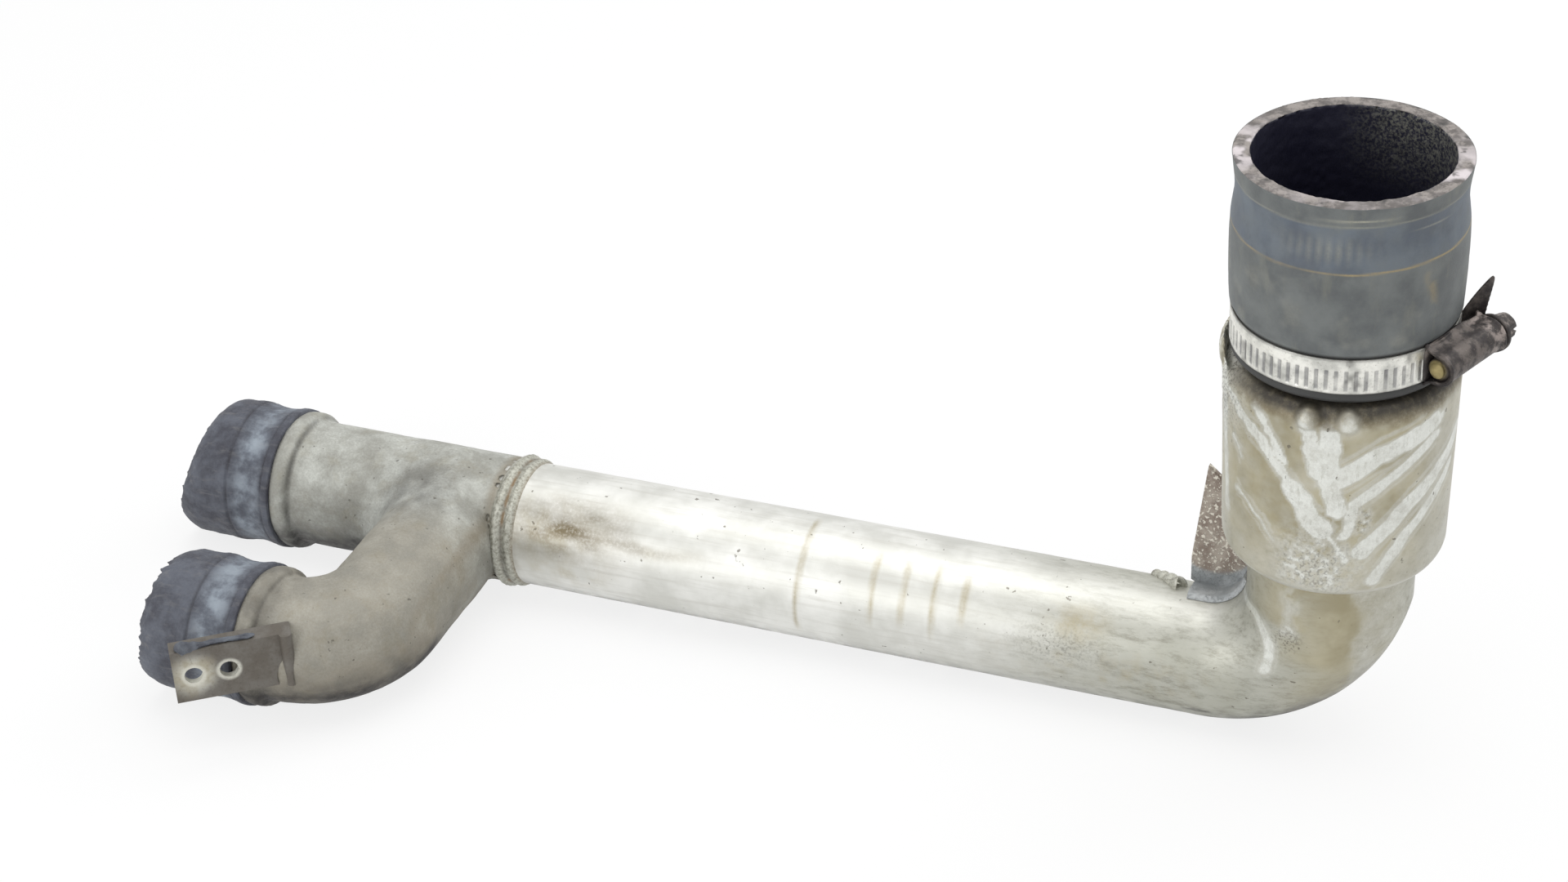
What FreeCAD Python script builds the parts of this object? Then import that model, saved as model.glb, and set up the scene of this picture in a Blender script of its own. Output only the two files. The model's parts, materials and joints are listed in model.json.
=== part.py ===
import FreeCAD, Part
import Sketcher
import math
import os

# Charge-air pressure pipe of a car engine: a drawn tube that ends in an elbow with a resonator can
# and a clamped rubber hose on top, and at the far end a cast two-way branch with two torn hose stubs.
# Millimetres. The can stands on the Z axis, the tube runs from it along -X at height zero, and the
# side branch lies towards -Y. At the end the whole part is set on the floor, about its middle.

SIZES = (
    # tube and elbow
    ("pipe_od", 45.0), ("pipe_wall", 2.0), ("pipe_run", 304.0), ("pipe_insert", 2.5),
    ("elbow_inner", 14.0), ("elbow_end_od", 55.2), ("neck_insert", 5.0),
    # resonator can and the perforated sleeve inside it
    ("can_base", 54.9), ("can_height", 74.6), ("can_base_od", 72.8), ("can_top_od", 76.0),
    ("can_wall", 2.4), ("can_base_round", 8.2), ("can_top_round", 7.2), ("land", 0.2),
    ("spigot_od", 60.8), ("spigot_length", 22.0), ("lug_size", 2.7), ("lug_drop", 4.6),
    ("lug_angle", -84.5), ("lug_spread", 25.0), ("lug_slope", 37.0),
    ("sleeve_wall", 1.2), ("sleeve_overlap", 8.0), ("sleeve_flare", 8.0),
    ("sleeve_hole", 8.0), ("sleeve_hole_pitch", 18.0),
    # clamped hose on top
    ("hose_length", 69.6), ("hose_mouth_od", 73.8), ("hose_mouth_id", 63.2), ("hose_grip_od", 70.8),
    ("hose_grip", 19.0), ("hose_waist", 16.0), ("hose_waist_od", 72.6), ("hose_bulge", 130.0),
    ("hose_taper", 6.0), ("hose_lift", 1.1),
    # worm-drive clamp
    ("band_width", 12.4), ("band_gauge", 0.8), ("band_lift", 3.6),
    ("slot_width", 1.7), ("slot_length", 7.4), ("slot_depth", 0.45), ("slot_edge", 1.2),
    ("screw_od", 8.6), ("screw_tip", 9.5), ("shell_gauge", 0.9), ("shell_length", 29.0),
    ("shell_start", 7.5), ("worm_angle", -23.0), ("flange_od", 12.6), ("flange_gauge", 1.4),
    ("head_flats", 8.0), ("head_length", 6.0), ("head_slot", 1.3),
    ("tail_width", 8.5), ("tail_rise", 21.0), ("tail_angle", 33.0), ("tail_lean", 12.0),
    # cast branch
    ("run_od", 46.4), ("run_length", 85.0), ("side_od", 44.6), ("cast_wall", 3.6),
    ("side_start", 21.0), ("side_angle", 90.0), ("side_bend", 26.0), ("side_offset", 93.0),
    ("side_straight", 1.5), ("bead_width", 6.0), ("bead_height", 2.8), ("nipple_length", 24.0),
    ("nipple_drop", 1.8), ("weld_size", 2.5), ("weld_ahead", 2.0), ("seam_weld", 1.1),
    # torn hose stubs on the branch
    ("stub_wall", 5.0), ("run_stub", 40.0), ("run_stub_skew", 13.0),
    ("side_stub", 40.0), ("side_stub_skew", 4.0), ("grip_inset", 4.0), ("grip_width", 12.0),
    ("grip_depth", 0.9),
    # two-hole tab on the side branch
    ("tab_gauge", 2.5), ("tab_length", 42.0), ("tab_height", 21.0), ("tab_turn", 36.0),
    ("tab_x", 66.4), ("tab_front", 42.0), ("tab_level", -3.0), ("tab_hole", 6.4),
    ("tab_hole_pitch", 12.2), ("tab_hole_edge", 7.0), ("tab_hole_level", 10.5), ("tab_flange", 7.0),
    ("tab_weld", 2.2),
    # gusset plate in the elbow's corner
    ("gusset_gauge", 2.0), ("gusset_side", 3.0), ("gusset_reach", 11.5), ("gusset_top", 77.0),
    ("gusset_lean", 6.0), ("gusset_nose", 7.0), ("foot_width", 11.0),
    ("gusset_weld", 3.2), ("gusset_weld_pitch", 3.2), ("gusset_weld_start", 10.0), ("gusset_weld_turn", 6.5),
    # clearance between pieces that slide into each other
    ("fit", 0.1),
)

X_AXIS = FreeCAD.Vector(1, 0, 0)
Y_AXIS = FreeCAD.Vector(0, 1, 0)
Z_AXIS = FreeCAD.Vector(0, 0, 1)
UPRIGHT = FreeCAD.Rotation()
ALONG_X = FreeCAD.Rotation(Y_AXIS, 90)
# How far a cutting form runs on past the piece that it cuts.
PAST = 1

doc = FreeCAD.newDocument("charge_air_pipe")
sheet = doc.addObject("Spreadsheet::Sheet", "dims")
for row, (alias, number) in enumerate(SIZES, 1):
    sheet.set(f"A{row}", alias)
    sheet.set(f"B{row}", str(number))
    sheet.setAlias(f"B{row}", alias)
doc.recompute()


# Derived places, each written as an expression on the sheet's cells.
PIPE_R = "(dims.pipe_od / 2)"
END_R = "(dims.elbow_end_od / 2)"
PIVOT_X = f"(dims.elbow_inner + {END_R})"
PIVOT_Z = f"(dims.elbow_inner + {PIPE_R})"
CAN_TOP = "(dims.can_base + dims.can_height)"
SPIGOT_R = "(dims.spigot_od / 2)"
HOSE_BASE = f"({CAN_TOP} + dims.hose_lift)"
HOSE_TOP = f"({HOSE_BASE} + dims.hose_length)"
GRIP_R = "(dims.hose_grip_od / 2)"
BAND_R = f"({GRIP_R} + dims.band_gauge)"
BAND_MID = f"({HOSE_BASE} + dims.band_lift + dims.band_width / 2)"
SCREW_R = "(dims.screw_od / 2)"
WORM_R = f"({BAND_R} + {SCREW_R} + dims.fit)"
SHELL_R = f"({SCREW_R} + dims.fit + dims.shell_gauge)"
RUN_R = "(dims.run_od / 2)"
SIDE_R = "(dims.side_od / 2)"
RUN_END = "(dims.pipe_run + dims.run_length)"
SIDE_DRAW = "(dims.side_offset / sin(dims.side_angle) - dims.side_bend * tan(dims.side_angle / 2))"
BEND_X = f"(-dims.pipe_run - dims.side_start - {SIDE_DRAW} * cos(dims.side_angle) " \
         "- dims.side_bend * sin(dims.side_angle))"
BEND_Y = "(dims.side_bend - dims.side_offset)"
SIDE_END = f"(dims.side_straight - {BEND_X})"
GUSSET_X = f"(-{PIVOT_X} - dims.gusset_reach)"


def bind(obj, sizes):
    """Tie each property of an object to an expression on the sheet."""
    for prop, expression in sizes.items():
        obj.setExpression(prop, expression)
    return obj


def solid(kind, name, sizes, base=("0", "0", "0"), turn=UPRIGHT):
    """A Part primitive with its sizes and its base point tied to the sheet."""
    obj = doc.addObject(f"Part::{kind}", name)
    obj.Placement = FreeCAD.Placement(FreeCAD.Vector(), turn)
    bind(obj, sizes)
    bind(obj, {f"Placement.Base.{axis}": text for axis, text in zip("xyz", base)})
    return obj


def rod(name, radius, start, end, y="0", z="0"):
    """A cylinder along X between two places."""
    sizes = {"Radius": radius, "Height": f"({end}) - ({start})"}
    return solid("Cylinder", name, sizes, (start, y, z), ALONG_X)


def post(name, radius, start, end):
    """A cylinder on the Z axis between two heights."""
    sizes = {"Radius": radius, "Height": f"({end}) - ({start})"}
    return solid("Cylinder", name, sizes, ("0", "0", start))


def fuse(name, pieces):
    """One solid made of several."""
    obj = doc.addObject("Part::MultiFuse", name)
    obj.Shapes = pieces
    return obj


def cut(name, base, tool):
    """A solid with another one taken out of it."""
    obj = doc.addObject("Part::Cut", name)
    obj.Base = base
    obj.Tool = tool
    return obj


def origin_plane(body, role):
    """One of a body's own origin planes or axes."""
    return next(item for item in body.Origin.OriginFeatures if item.Role == role)


def value(expression):
    """The number that an expression on the sheet gives now."""
    return float(sheet.evalExpression(expression))


def outline(body, name, role, points, bulge=None):
    """A closed sketch through points given as expressions; bulge is the index and radius of an arc."""
    sketch = body.newObject("Sketcher::SketchObject", name)
    sketch.AttachmentSupport = [(origin_plane(body, role), "")]
    sketch.MapMode = "FlatFace"
    places = [FreeCAD.Vector(value(a), value(b), 0) for a, b in points]
    for index, start in enumerate(places):
        end = places[(index + 1) % len(places)]
        if bulge and index == bulge[0]:
            sketch.addGeometry(arc_between(start, end, value(bulge[1])), False)
        else:
            sketch.addGeometry(Part.LineSegment(start, end), False)
    for index, (a, b) in enumerate(points):
        following = (index + 1) % len(points)
        sketch.addConstraint(Sketcher.Constraint("Coincident", index, 2, following, 1))
        for kind, text in (("DistanceX", a), ("DistanceY", b)):
            number = sketch.addConstraint(Sketcher.Constraint(kind, -1, 1, index, 1, value(text)))
            sketch.setExpression(f"Constraints[{number}]", text)
    if bulge:
        number = sketch.addConstraint(Sketcher.Constraint("Radius", bulge[0], value(bulge[1])))
        sketch.setExpression(f"Constraints[{number}]", bulge[1])
    return sketch


def arc_between(start, end, radius):
    """The shallow arc from start up to end that bows to the right of that way, away from the axis."""
    chord = end - start
    middle = (start + end) * 0.5
    outward = FreeCAD.Vector(chord.y, -chord.x, 0).normalize()
    rise = radius - math.sqrt(radius ** 2 - chord.Length ** 2 / 4)
    return Part.Arc(start, middle + outward * rise, end)


def turned(name, points, bulge=None):
    """A body turned about Z from a half section of radius and height."""
    body = doc.addObject("PartDesign::Body", name)
    sketch = outline(body, f"{name}_section", "XZ_Plane", points, bulge)
    feature = body.newObject("PartDesign::Revolution", f"{name}_turned")
    feature.Profile = sketch
    feature.ReferenceAxis = (sketch, ["V_Axis"])
    feature.Angle = 360
    doc.recompute()
    return body


def round_edges(body, name, places):
    """Round the ring edges that pass through given radius and height, each by its own size."""
    for index, (radius, height, size) in enumerate(places):
        base = body.Tip
        names = []
        for number, edge in enumerate(base.Shape.Edges, 1):
            point = edge.valueAt(edge.FirstParameter)
            ring = math.hypot(point.x, point.y)
            level = edge.BoundBox.ZLength < 1e-6
            if level and abs(ring - value(radius)) < 1e-4 and abs(point.z - value(height)) < 1e-4:
                names.append(f"Edge{number}")
        feature = body.newObject("PartDesign::Fillet", f"{name}_{index}")
        feature.Base = (base, names)
        bind(feature, {"Radius": size})
        doc.recompute()


def tube_stretches(name, inset):
    """The straight tube, the swelling elbow and its upright neck, all drawn in by inset."""
    sections = []
    steps = 6
    for step in range(steps + 1):
        share = step / steps
        angle = 90 * share
        size = f"({PIPE_R} + ({END_R} - {PIPE_R}) * {share ** 2})"
        reach = f"(dims.elbow_inner + {size})"
        base = (f"{reach} * sin({angle}) - {PIVOT_X}", "0", f"{PIVOT_Z} - {reach} * cos({angle})")
        turn = FreeCAD.Rotation(Y_AXIS, 90 - angle)
        sections.append(solid("Circle", f"{name}_ring_{step}", {"Radius": f"{size} - {inset}"}, base, turn))
    bend = doc.addObject("Part::Loft", f"{name}_bend")
    bend.Sections = sections
    bend.Solid = True
    start = "-dims.pipe_run - dims.pipe_insert"
    straight = rod(f"{name}_straight", f"{PIPE_R} - {inset}", start, f"-{PIVOT_X}")
    neck = post(f"{name}_neck", f"{END_R} - {inset}", PIVOT_Z, "dims.can_base + dims.neck_insert")
    return [straight, bend, neck]


def make_main_pipe():
    """Drawn aluminium tube with its elbow, and the full form that other pieces are fitted to."""
    outside = tube_stretches("pipe_outside", "0")
    inside = tube_stretches("pipe_inside", "dims.pipe_wall")
    walls = [cut(f"pipe_wall_{index}", *pair) for index, pair in enumerate(zip(outside, inside))]
    return fuse("main_pipe", walls), fuse("pipe_form", outside)


def make_resonator_can():
    """Spun can with a rounded base and shoulder, a spigot for the hose and two small lugs."""
    wall = "dims.can_wall"
    hole = f"{END_R} + dims.fit"
    base_r = "dims.can_base_od / 2"
    top_r = "dims.can_top_od / 2"
    spigot_top = f"{CAN_TOP} + dims.spigot_length"
    points = (
        (hole, "dims.can_base"), (base_r, "dims.can_base"), (top_r, CAN_TOP), (SPIGOT_R, CAN_TOP),
        (SPIGOT_R, spigot_top), (f"{SPIGOT_R} - {wall}", spigot_top),
        (f"{SPIGOT_R} - {wall}", f"{CAN_TOP} - {wall}"), (f"{top_r} - {wall}", f"{CAN_TOP} - {wall}"),
        (f"{base_r} - {wall}", f"dims.can_base + {wall}"), (hole, f"dims.can_base + {wall}"),
    )
    body = turned("can_shell", points)
    # A round takes up more of the flat ring beside it where the wall leans out, and less where it leans in.
    lean = f"(({top_r} - {base_r}) / dims.can_height)"
    base_room = f"({base_r} - {END_R} - dims.land) / (sqrt(1 + {lean} ^ 2) - {lean})"
    top_room = f"({top_r} - {SPIGOT_R} - dims.land) / (sqrt(1 + {lean} ^ 2) + {lean})"
    base_round = f"min(dims.can_base_round; {base_room})"
    top_round = f"min(dims.can_top_round; {top_room})"
    round_edges(body, "can_round", (
        (base_r, "dims.can_base", base_round), (top_r, CAN_TOP, top_round),
        (f"{top_r} - {wall}", f"{CAN_TOP} - {wall}", f"{top_round} - {wall}"),
        (f"{base_r} - {wall}", f"dims.can_base + {wall}", f"{base_round} - {wall}"),
    ))
    lugs = []
    reach = f"({top_r} - dims.can_top_round * (1 - cos(dims.lug_slope)))"
    for index, side in enumerate((-1, 1)):
        angle = f"dims.lug_angle + dims.lug_spread / 2 * {side}"
        base = (f"{reach} * cos({angle})", f"{reach} * sin({angle})", f"{CAN_TOP} - dims.lug_drop")
        lugs.append(solid("Sphere", f"can_lug_{index}", {"Radius": "dims.lug_size"}, base))
    return fuse("resonator_can", [body] + lugs)


def make_perforated_sleeve():
    """Thin pierced sleeve that leads the air through the can."""
    outer = f"({END_R} - dims.pipe_wall - dims.fit)"
    flared = f"({SPIGOT_R} - dims.can_wall - dims.fit)"
    low = "(dims.can_base + dims.neck_insert - dims.sleeve_overlap)"
    high = f"({CAN_TOP} + dims.spigot_length / 2)"
    wall = "dims.sleeve_wall"
    points = (
        (outer, low), (outer, f"{CAN_TOP} - dims.sleeve_flare"), (flared, CAN_TOP), (flared, high),
        (f"{flared} - {wall}", high), (f"{flared} - {wall}", CAN_TOP),
        (f"{outer} - {wall}", f"{CAN_TOP} - dims.sleeve_flare"), (f"{outer} - {wall}", low),
    )
    sleeve = turned("sleeve_shell", points)
    drills = []
    rows = 3
    around = 5
    for row in range(rows):
        level = f"dims.can_base + dims.can_height / 2 + dims.sleeve_hole_pitch * {row - (rows - 1) / 2}"
        for step in range(around):
            turn = FreeCAD.Rotation(Z_AXIS, 180 * (step + row / 2) / around).multiply(ALONG_X)
            way = turn.multVec(Z_AXIS)
            base = (f"-{way.x} * {END_R}", f"-{way.y} * {END_R}", level)
            sizes = {"Radius": "dims.sleeve_hole / 2", "Height": "dims.elbow_end_od"}
            drills.append(solid("Cylinder", f"sleeve_drill_{row}_{step}", sizes, base, turn))
    return cut("perforated_sleeve", sleeve, fuse("sleeve_drills", drills))


def make_top_hose():
    """Moulded rubber hose: a straight grip under the clamp, a shallow bulge, a waist and a wider mouth."""
    bore = f"({SPIGOT_R} + dims.fit)"
    mouth = "dims.hose_mouth_id / 2"
    step = f"({CAN_TOP} + dims.spigot_length)"
    points = (
        (GRIP_R, HOSE_BASE), (GRIP_R, f"{HOSE_BASE} + dims.hose_grip"),
        ("dims.hose_waist_od / 2", f"{HOSE_TOP} - dims.hose_waist"), ("dims.hose_mouth_od / 2", HOSE_TOP),
        (mouth, HOSE_TOP), (mouth, f"{step} + dims.hose_taper"), (bore, step), (bore, HOSE_BASE),
    )
    body = turned("hose_body", points, (1, "dims.hose_bulge"))
    body.Label = "top_hose"
    return body


def worm_place(radius, along):
    """A place in the clamp's own directions: out from the can's axis and along the worm."""
    x = f"({radius}) * cos(dims.worm_angle) - ({along}) * sin(dims.worm_angle)"
    y = f"({radius}) * sin(dims.worm_angle) + ({along}) * cos(dims.worm_angle)"
    return (x, y, BAND_MID)


def worm_turn():
    """The turn that lays a cylinder's axis along the worm."""
    return FreeCAD.Rotation(Z_AXIS, value("dims.worm_angle")).multiply(FreeCAD.Rotation(X_AXIS, -90))


def make_clamp_band():
    """Steel strap round the hose with pressed slots, and its pointed tail bent up past the housing."""
    low = f"({HOSE_BASE} + dims.band_lift)"
    points = ((GRIP_R, low), (BAND_R, low), (BAND_R, f"{low} + dims.band_width"),
              (GRIP_R, f"{low} + dims.band_width"))
    ring = turned("band_ring", points)
    slots = []
    slot_count = 46
    slot_first = 24
    slot_pitch = 6.0
    for index in range(slot_count):
        angle = value("dims.worm_angle") + slot_first + slot_pitch * index
        reach = f"({BAND_R} - dims.slot_depth)"
        half = "dims.slot_width / 2"
        base = (f"{reach} * cos({angle}) + {half} * sin({angle})",
                f"{reach} * sin({angle}) - {half} * cos({angle})", f"{low} + dims.slot_edge")
        sizes = {"Length": "dims.slot_depth * 2", "Width": "dims.slot_width", "Height": "dims.slot_length"}
        slots.append(solid("Box", f"band_slot_{index}", sizes, base, FreeCAD.Rotation(Z_AXIS, angle)))
    strap = cut("band_slotted", ring, fuse("band_slots", slots))
    angle = value("dims.worm_angle") + value("dims.tail_angle")
    out = FreeCAD.Rotation(Z_AXIS, angle).multVec(X_AXIS)
    around = FreeCAD.Rotation(Z_AXIS, angle).multVec(Y_AXIS)
    upright = FreeCAD.Rotation(around, Z_AXIS, out, "XYZ")
    stand = FreeCAD.Rotation(around, value("dims.tail_lean")).multiply(upright)
    sizes = {"Xmin": "-dims.tail_width / 2", "Xmax": "dims.tail_width / 2",
             "Ymin": "0", "Ymax": "dims.tail_rise", "Zmin": "0", "Zmax": "dims.band_gauge",
             "X2min": "dims.tail_width / 2 - dims.band_gauge",
             "X2max": "dims.tail_width / 2", "Z2min": "0", "Z2max": "dims.band_gauge"}
    reach = f"({BAND_R} - dims.band_gauge / 2)"
    base = (f"{reach} * cos({angle})", f"{reach} * sin({angle})", f"{low} + dims.band_width / 2")
    tail = solid("Wedge", "band_tail", sizes, base, stand)
    bore = post("band_bore", GRIP_R, low, HOSE_TOP)
    return cut("clamp_band", fuse("band_with_tail", [strap, tail]), bore)


def arch(name, radius, start, end, reach):
    """A channel form along the worm: a round back over straight sides that go down to the strap."""
    turn = worm_turn()
    length = f"({end}) - ({start})"
    sizes = {"Radius": radius, "Height": length}
    back = solid("Cylinder", f"{name}_back", sizes, worm_place(WORM_R, start), turn)
    sizes = {"Length": f"{WORM_R} - {reach}", "Width": length, "Height": f"2 * {radius}"}
    x, y, z = worm_place(reach, start)
    spin = FreeCAD.Rotation(Z_AXIS, value("dims.worm_angle"))
    sides = solid("Box", f"{name}_sides", sizes, (x, y, f"{z} - {radius}"), spin)
    return fuse(name, [back, sides])


def make_clamp_housing():
    """Pressed steel shell over the worm, seated on the strap."""
    start = "-dims.shell_start"
    end = "dims.shell_length - dims.shell_start"
    inside = f"({SHELL_R} - dims.shell_gauge)"
    seat = f"({BAND_R} - dims.band_gauge)"
    outer = arch("shell_outside", SHELL_R, start, end, seat)
    inner = arch("shell_inside", inside, f"{start} - {PAST}", f"{end} + {PAST}", f"{seat} - {PAST}")
    shell = cut("shell_channel", outer, inner)
    half = f"({SHELL_R} + {PAST})"
    relief = post("shell_relief", BAND_R, f"{BAND_MID} - {half}", f"{BAND_MID} + {half}")
    return cut("clamp_housing", shell, relief)


def make_clamp_screw():
    """Worm screw with a flange and a slotted hexagon head."""
    turn = worm_turn()
    seat = "(dims.shell_length - dims.shell_start + dims.fit)"
    shank = solid("Cylinder", "screw_shank", {"Radius": SCREW_R, "Height": f"{seat} + dims.screw_tip"},
                  worm_place(WORM_R, "-dims.screw_tip"), turn)
    sizes = {"Radius": "dims.flange_od / 2", "Height": "dims.flange_gauge"}
    flange = solid("Cylinder", "screw_flange", sizes, worm_place(WORM_R, seat), turn)
    face = f"({seat} + dims.flange_gauge)"
    sizes = {"Circumradius": "dims.head_flats / sqrt(3)", "Height": "dims.head_length"}
    head = solid("Prism", "screw_head", sizes, worm_place(WORM_R, face), turn)
    head.Polygon = 6
    sizes = {"Length": "dims.head_flats * 2", "Width": "dims.head_length", "Height": "dims.head_slot"}
    x, y, z = worm_place(f"{WORM_R} - dims.head_flats", f"{face} + dims.head_length / 2")
    spin = FreeCAD.Rotation(Z_AXIS, value("dims.worm_angle"))
    slot = solid("Box", "screw_slot", sizes, (x, y, f"{z} - dims.head_slot / 2"), spin)
    return cut("clamp_screw", fuse("screw_body", [shank, flange, head]), slot)


def side_form(name, radius, tail):
    """The side branch: out of the run at its angle, round its bend and straight on for tail."""
    way = FreeCAD.Rotation(Z_AXIS, 180 + value("dims.side_angle")).multiply(ALONG_X)
    start = ("-dims.pipe_run - dims.side_start", "0", "0")
    out = solid("Cylinder", f"{name}_out", {"Radius": radius, "Height": SIDE_DRAW}, start, way)
    sizes = {"Radius1": "dims.side_bend", "Radius2": radius, "Angle1": "-180", "Angle2": "180",
             "Angle3": "dims.side_angle"}
    bend = solid("Torus", f"{name}_bend", sizes, (BEND_X, BEND_Y, "0"), FreeCAD.Rotation(Z_AXIS, -90))
    straight = rod(f"{name}_straight", radius, f"-{SIDE_END} - {tail}", BEND_X, "-dims.side_offset")
    return [out, bend, straight]


def nipple_forms(name, end, radius, y):
    """The raised bead at an outlet and the thinner nipple that the hose is pushed on."""
    crest = f"{radius} + dims.bead_height"
    bead = rod(f"{name}_bead", crest, f"-{end} - dims.bead_width", f"-{end}", y)
    tip = f"-{end} - dims.bead_width - dims.nipple_length"
    nipple = rod(f"{name}_nipple", f"{radius} - dims.nipple_drop", tip, f"-{end}", y)
    return [bead, nipple]


def make_branch_casting():
    """Sand-cast two-way branch with beaded outlets and a socket for the tube."""
    run = rod("run_outside", RUN_R, f"-{RUN_END}", "-dims.pipe_run")
    outer = [run] + nipple_forms("run", RUN_END, RUN_R, "0")
    outer += side_form("side_outside", SIDE_R, "0")
    outer += nipple_forms("side", SIDE_END, SIDE_R, "-dims.side_offset")
    body = fuse("branch_outside", outer)
    past = f"(dims.bead_width + dims.nipple_length + {PAST})"
    inner = [rod("run_inside", f"{RUN_R} - dims.cast_wall", f"-{RUN_END} - {past}", "-dims.pipe_run")]
    inner += side_form("side_inside", f"{SIDE_R} - dims.cast_wall", past)
    inner.append(rod("pipe_socket", f"{PIPE_R} + dims.fit", "-dims.pipe_run - dims.pipe_insert",
                     "-dims.pipe_run + dims.side_od"))
    return body, cut("branch_casting", body, fuse("branch_inside", inner))


def make_ring_weld(name, radius, size, base, turn, keep_clear):
    """A weld bead laid round a joint, clear of the pieces that it joins."""
    bead = solid("Torus", f"{name}_bead", {"Radius1": radius, "Radius2": size}, base, turn)
    return cut(name, bead, keep_clear)


def make_hose_stub(name, end, radius, y, length, skew):
    """Rubber hose stub on an outlet, pressed in where its clamp sat, torn off at a slant."""
    bore = f"({radius} - dims.nipple_drop + dims.fit)"
    outer = f"({bore} + dims.stub_wall)"
    start = f"(-{end} - dims.bead_width)"
    tip = f"({start} - {length} - {skew} / 2)"
    skin = rod(f"{name}_skin", outer, tip, start, y)
    hole = rod(f"{name}_hole", bore, f"{tip} - {PAST}", f"{start} + {PAST}", y)
    grip_end = f"{start} - dims.grip_inset"
    grip_start = f"{grip_end} - dims.grip_width"
    grip_rod = rod(f"{name}_grip_rod", f"{outer} + {PAST}", grip_start, grip_end, y)
    grip_core = rod(f"{name}_grip_core", f"{outer} - dims.grip_depth", f"{grip_start} - {PAST}",
                    f"{grip_end} + {PAST}", y)
    groove = cut(f"{name}_groove", grip_rod, grip_core)
    span = f"2 * ({outer} + {PAST})"
    sizes = {"Xmin": "0", "Xmax": skew, "X2min": "0", "X2max": "0", "Ymin": "0", "Ymax": span,
             "Zmin": "0", "Zmax": span, "Z2min": "0", "Z2max": span}
    turn = FreeCAD.Rotation(X_AXIS, -90)
    corner = (tip, f"{y} - {outer} - {PAST}", f"{outer} + {PAST}")
    tear = solid("Wedge", f"{name}_tear", sizes, corner, turn)
    return cut(name, skin, fuse(f"{name}_taken", [hole, groove, tear]))


def make_tab_bracket(clear):
    """Folded sheet tab with two bolt holes and a top flange, welded to the side branch."""
    turn = FreeCAD.Rotation(Z_AXIS, value("dims.tab_turn"))
    base = ("-dims.pipe_run - dims.tab_x", "-dims.side_offset - dims.tab_front", "dims.tab_level")
    sizes = {"Length": "dims.tab_length", "Width": "dims.tab_gauge", "Height": "dims.tab_height"}
    plate = solid("Box", "tab_plate", sizes, base, turn)
    sizes = {"Length": "dims.tab_length", "Width": "dims.tab_flange", "Height": "dims.tab_gauge"}
    top = (base[0], base[1], f"{base[2]} + dims.tab_height - dims.tab_gauge")
    flange = solid("Box", "tab_flange_leaf", sizes, top, turn)
    drills = []
    for index in range(2):
        along = f"(dims.tab_hole_edge + dims.tab_hole_pitch * {index})"
        place = (f"{base[0]} + {along} * cos(dims.tab_turn) + {PAST} * sin(dims.tab_turn)",
                 f"{base[1]} + {along} * sin(dims.tab_turn) - {PAST} * cos(dims.tab_turn)",
                 f"{base[2]} + dims.tab_hole_level")
        way = turn.multiply(FreeCAD.Rotation(X_AXIS, -90))
        sizes = {"Radius": "dims.tab_hole / 2", "Height": f"dims.tab_gauge + 2 * {PAST}"}
        drills.append(solid("Cylinder", f"tab_drill_{index}", sizes, place, way))
    folded = fuse("tab_folded", [plate, flange])
    tab = cut("tab_bracket", folded, fuse("tab_taken", drills + clear))
    along = "(dims.tab_length - dims.tab_weld)"
    seam = (f"{base[0]} + {along} * cos(dims.tab_turn)", f"{base[1]} + {along} * sin(dims.tab_turn)",
            base[2])
    sizes = {"Radius": "dims.tab_weld", "Height": "dims.tab_height"}
    bead = solid("Cylinder", "tab_weld_bead", sizes, seam)
    return tab, cut("tab_weld_run", bead, fuse("tab_weld_clear", [folded] + clear))


def make_gusset(clear):
    """Folded sheet gusset in the elbow's corner with a foot that hugs the bend, and its uncut form."""
    body = doc.addObject("PartDesign::Body", "gusset_body")
    wall = "(dims.can_base_od / 2)"
    points = ((GUSSET_X, "0"), (GUSSET_X, f"{PIPE_R} + dims.gusset_nose"),
              (f"{GUSSET_X} + dims.gusset_lean", "dims.gusset_top"),
              (f"-{wall}", "dims.gusset_top - dims.gusset_nose"),
              (f"-{wall} + dims.can_base_round", "dims.can_base"),
              (f"-{END_R} / 2", "dims.can_base"), (f"-{END_R} / 2", "0"))
    sketch = outline(body, "gusset_outline", "XZ_Plane", points)
    pad = body.newObject("PartDesign::Pad", "gusset_pad")
    pad.Profile = sketch
    pad.Midplane = True
    bind(pad, {"Length": "dims.gusset_gauge"})
    bind(body, {"Placement.Base.y": "dims.gusset_side"})
    wrap = fuse("gusset_wrap", tube_stretches("gusset_wrap_skin", "-dims.gusset_gauge"))
    sizes = {"Length": f"-{GUSSET_X}", "Width": "dims.foot_width",
             "Height": f"dims.can_base - {PIPE_R} / 2"}
    base = (GUSSET_X, "dims.gusset_side - dims.foot_width", f"{PIPE_R} / 2")
    window = solid("Box", "foot_window", sizes, base)
    foot = doc.addObject("Part::Common", "gusset_foot")
    foot.Base = wrap
    foot.Tool = window
    folded = fuse("gusset_folded", [body, foot])
    return cut("gusset_bracket", folded, fuse("gusset_clear", clear)), folded


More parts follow.
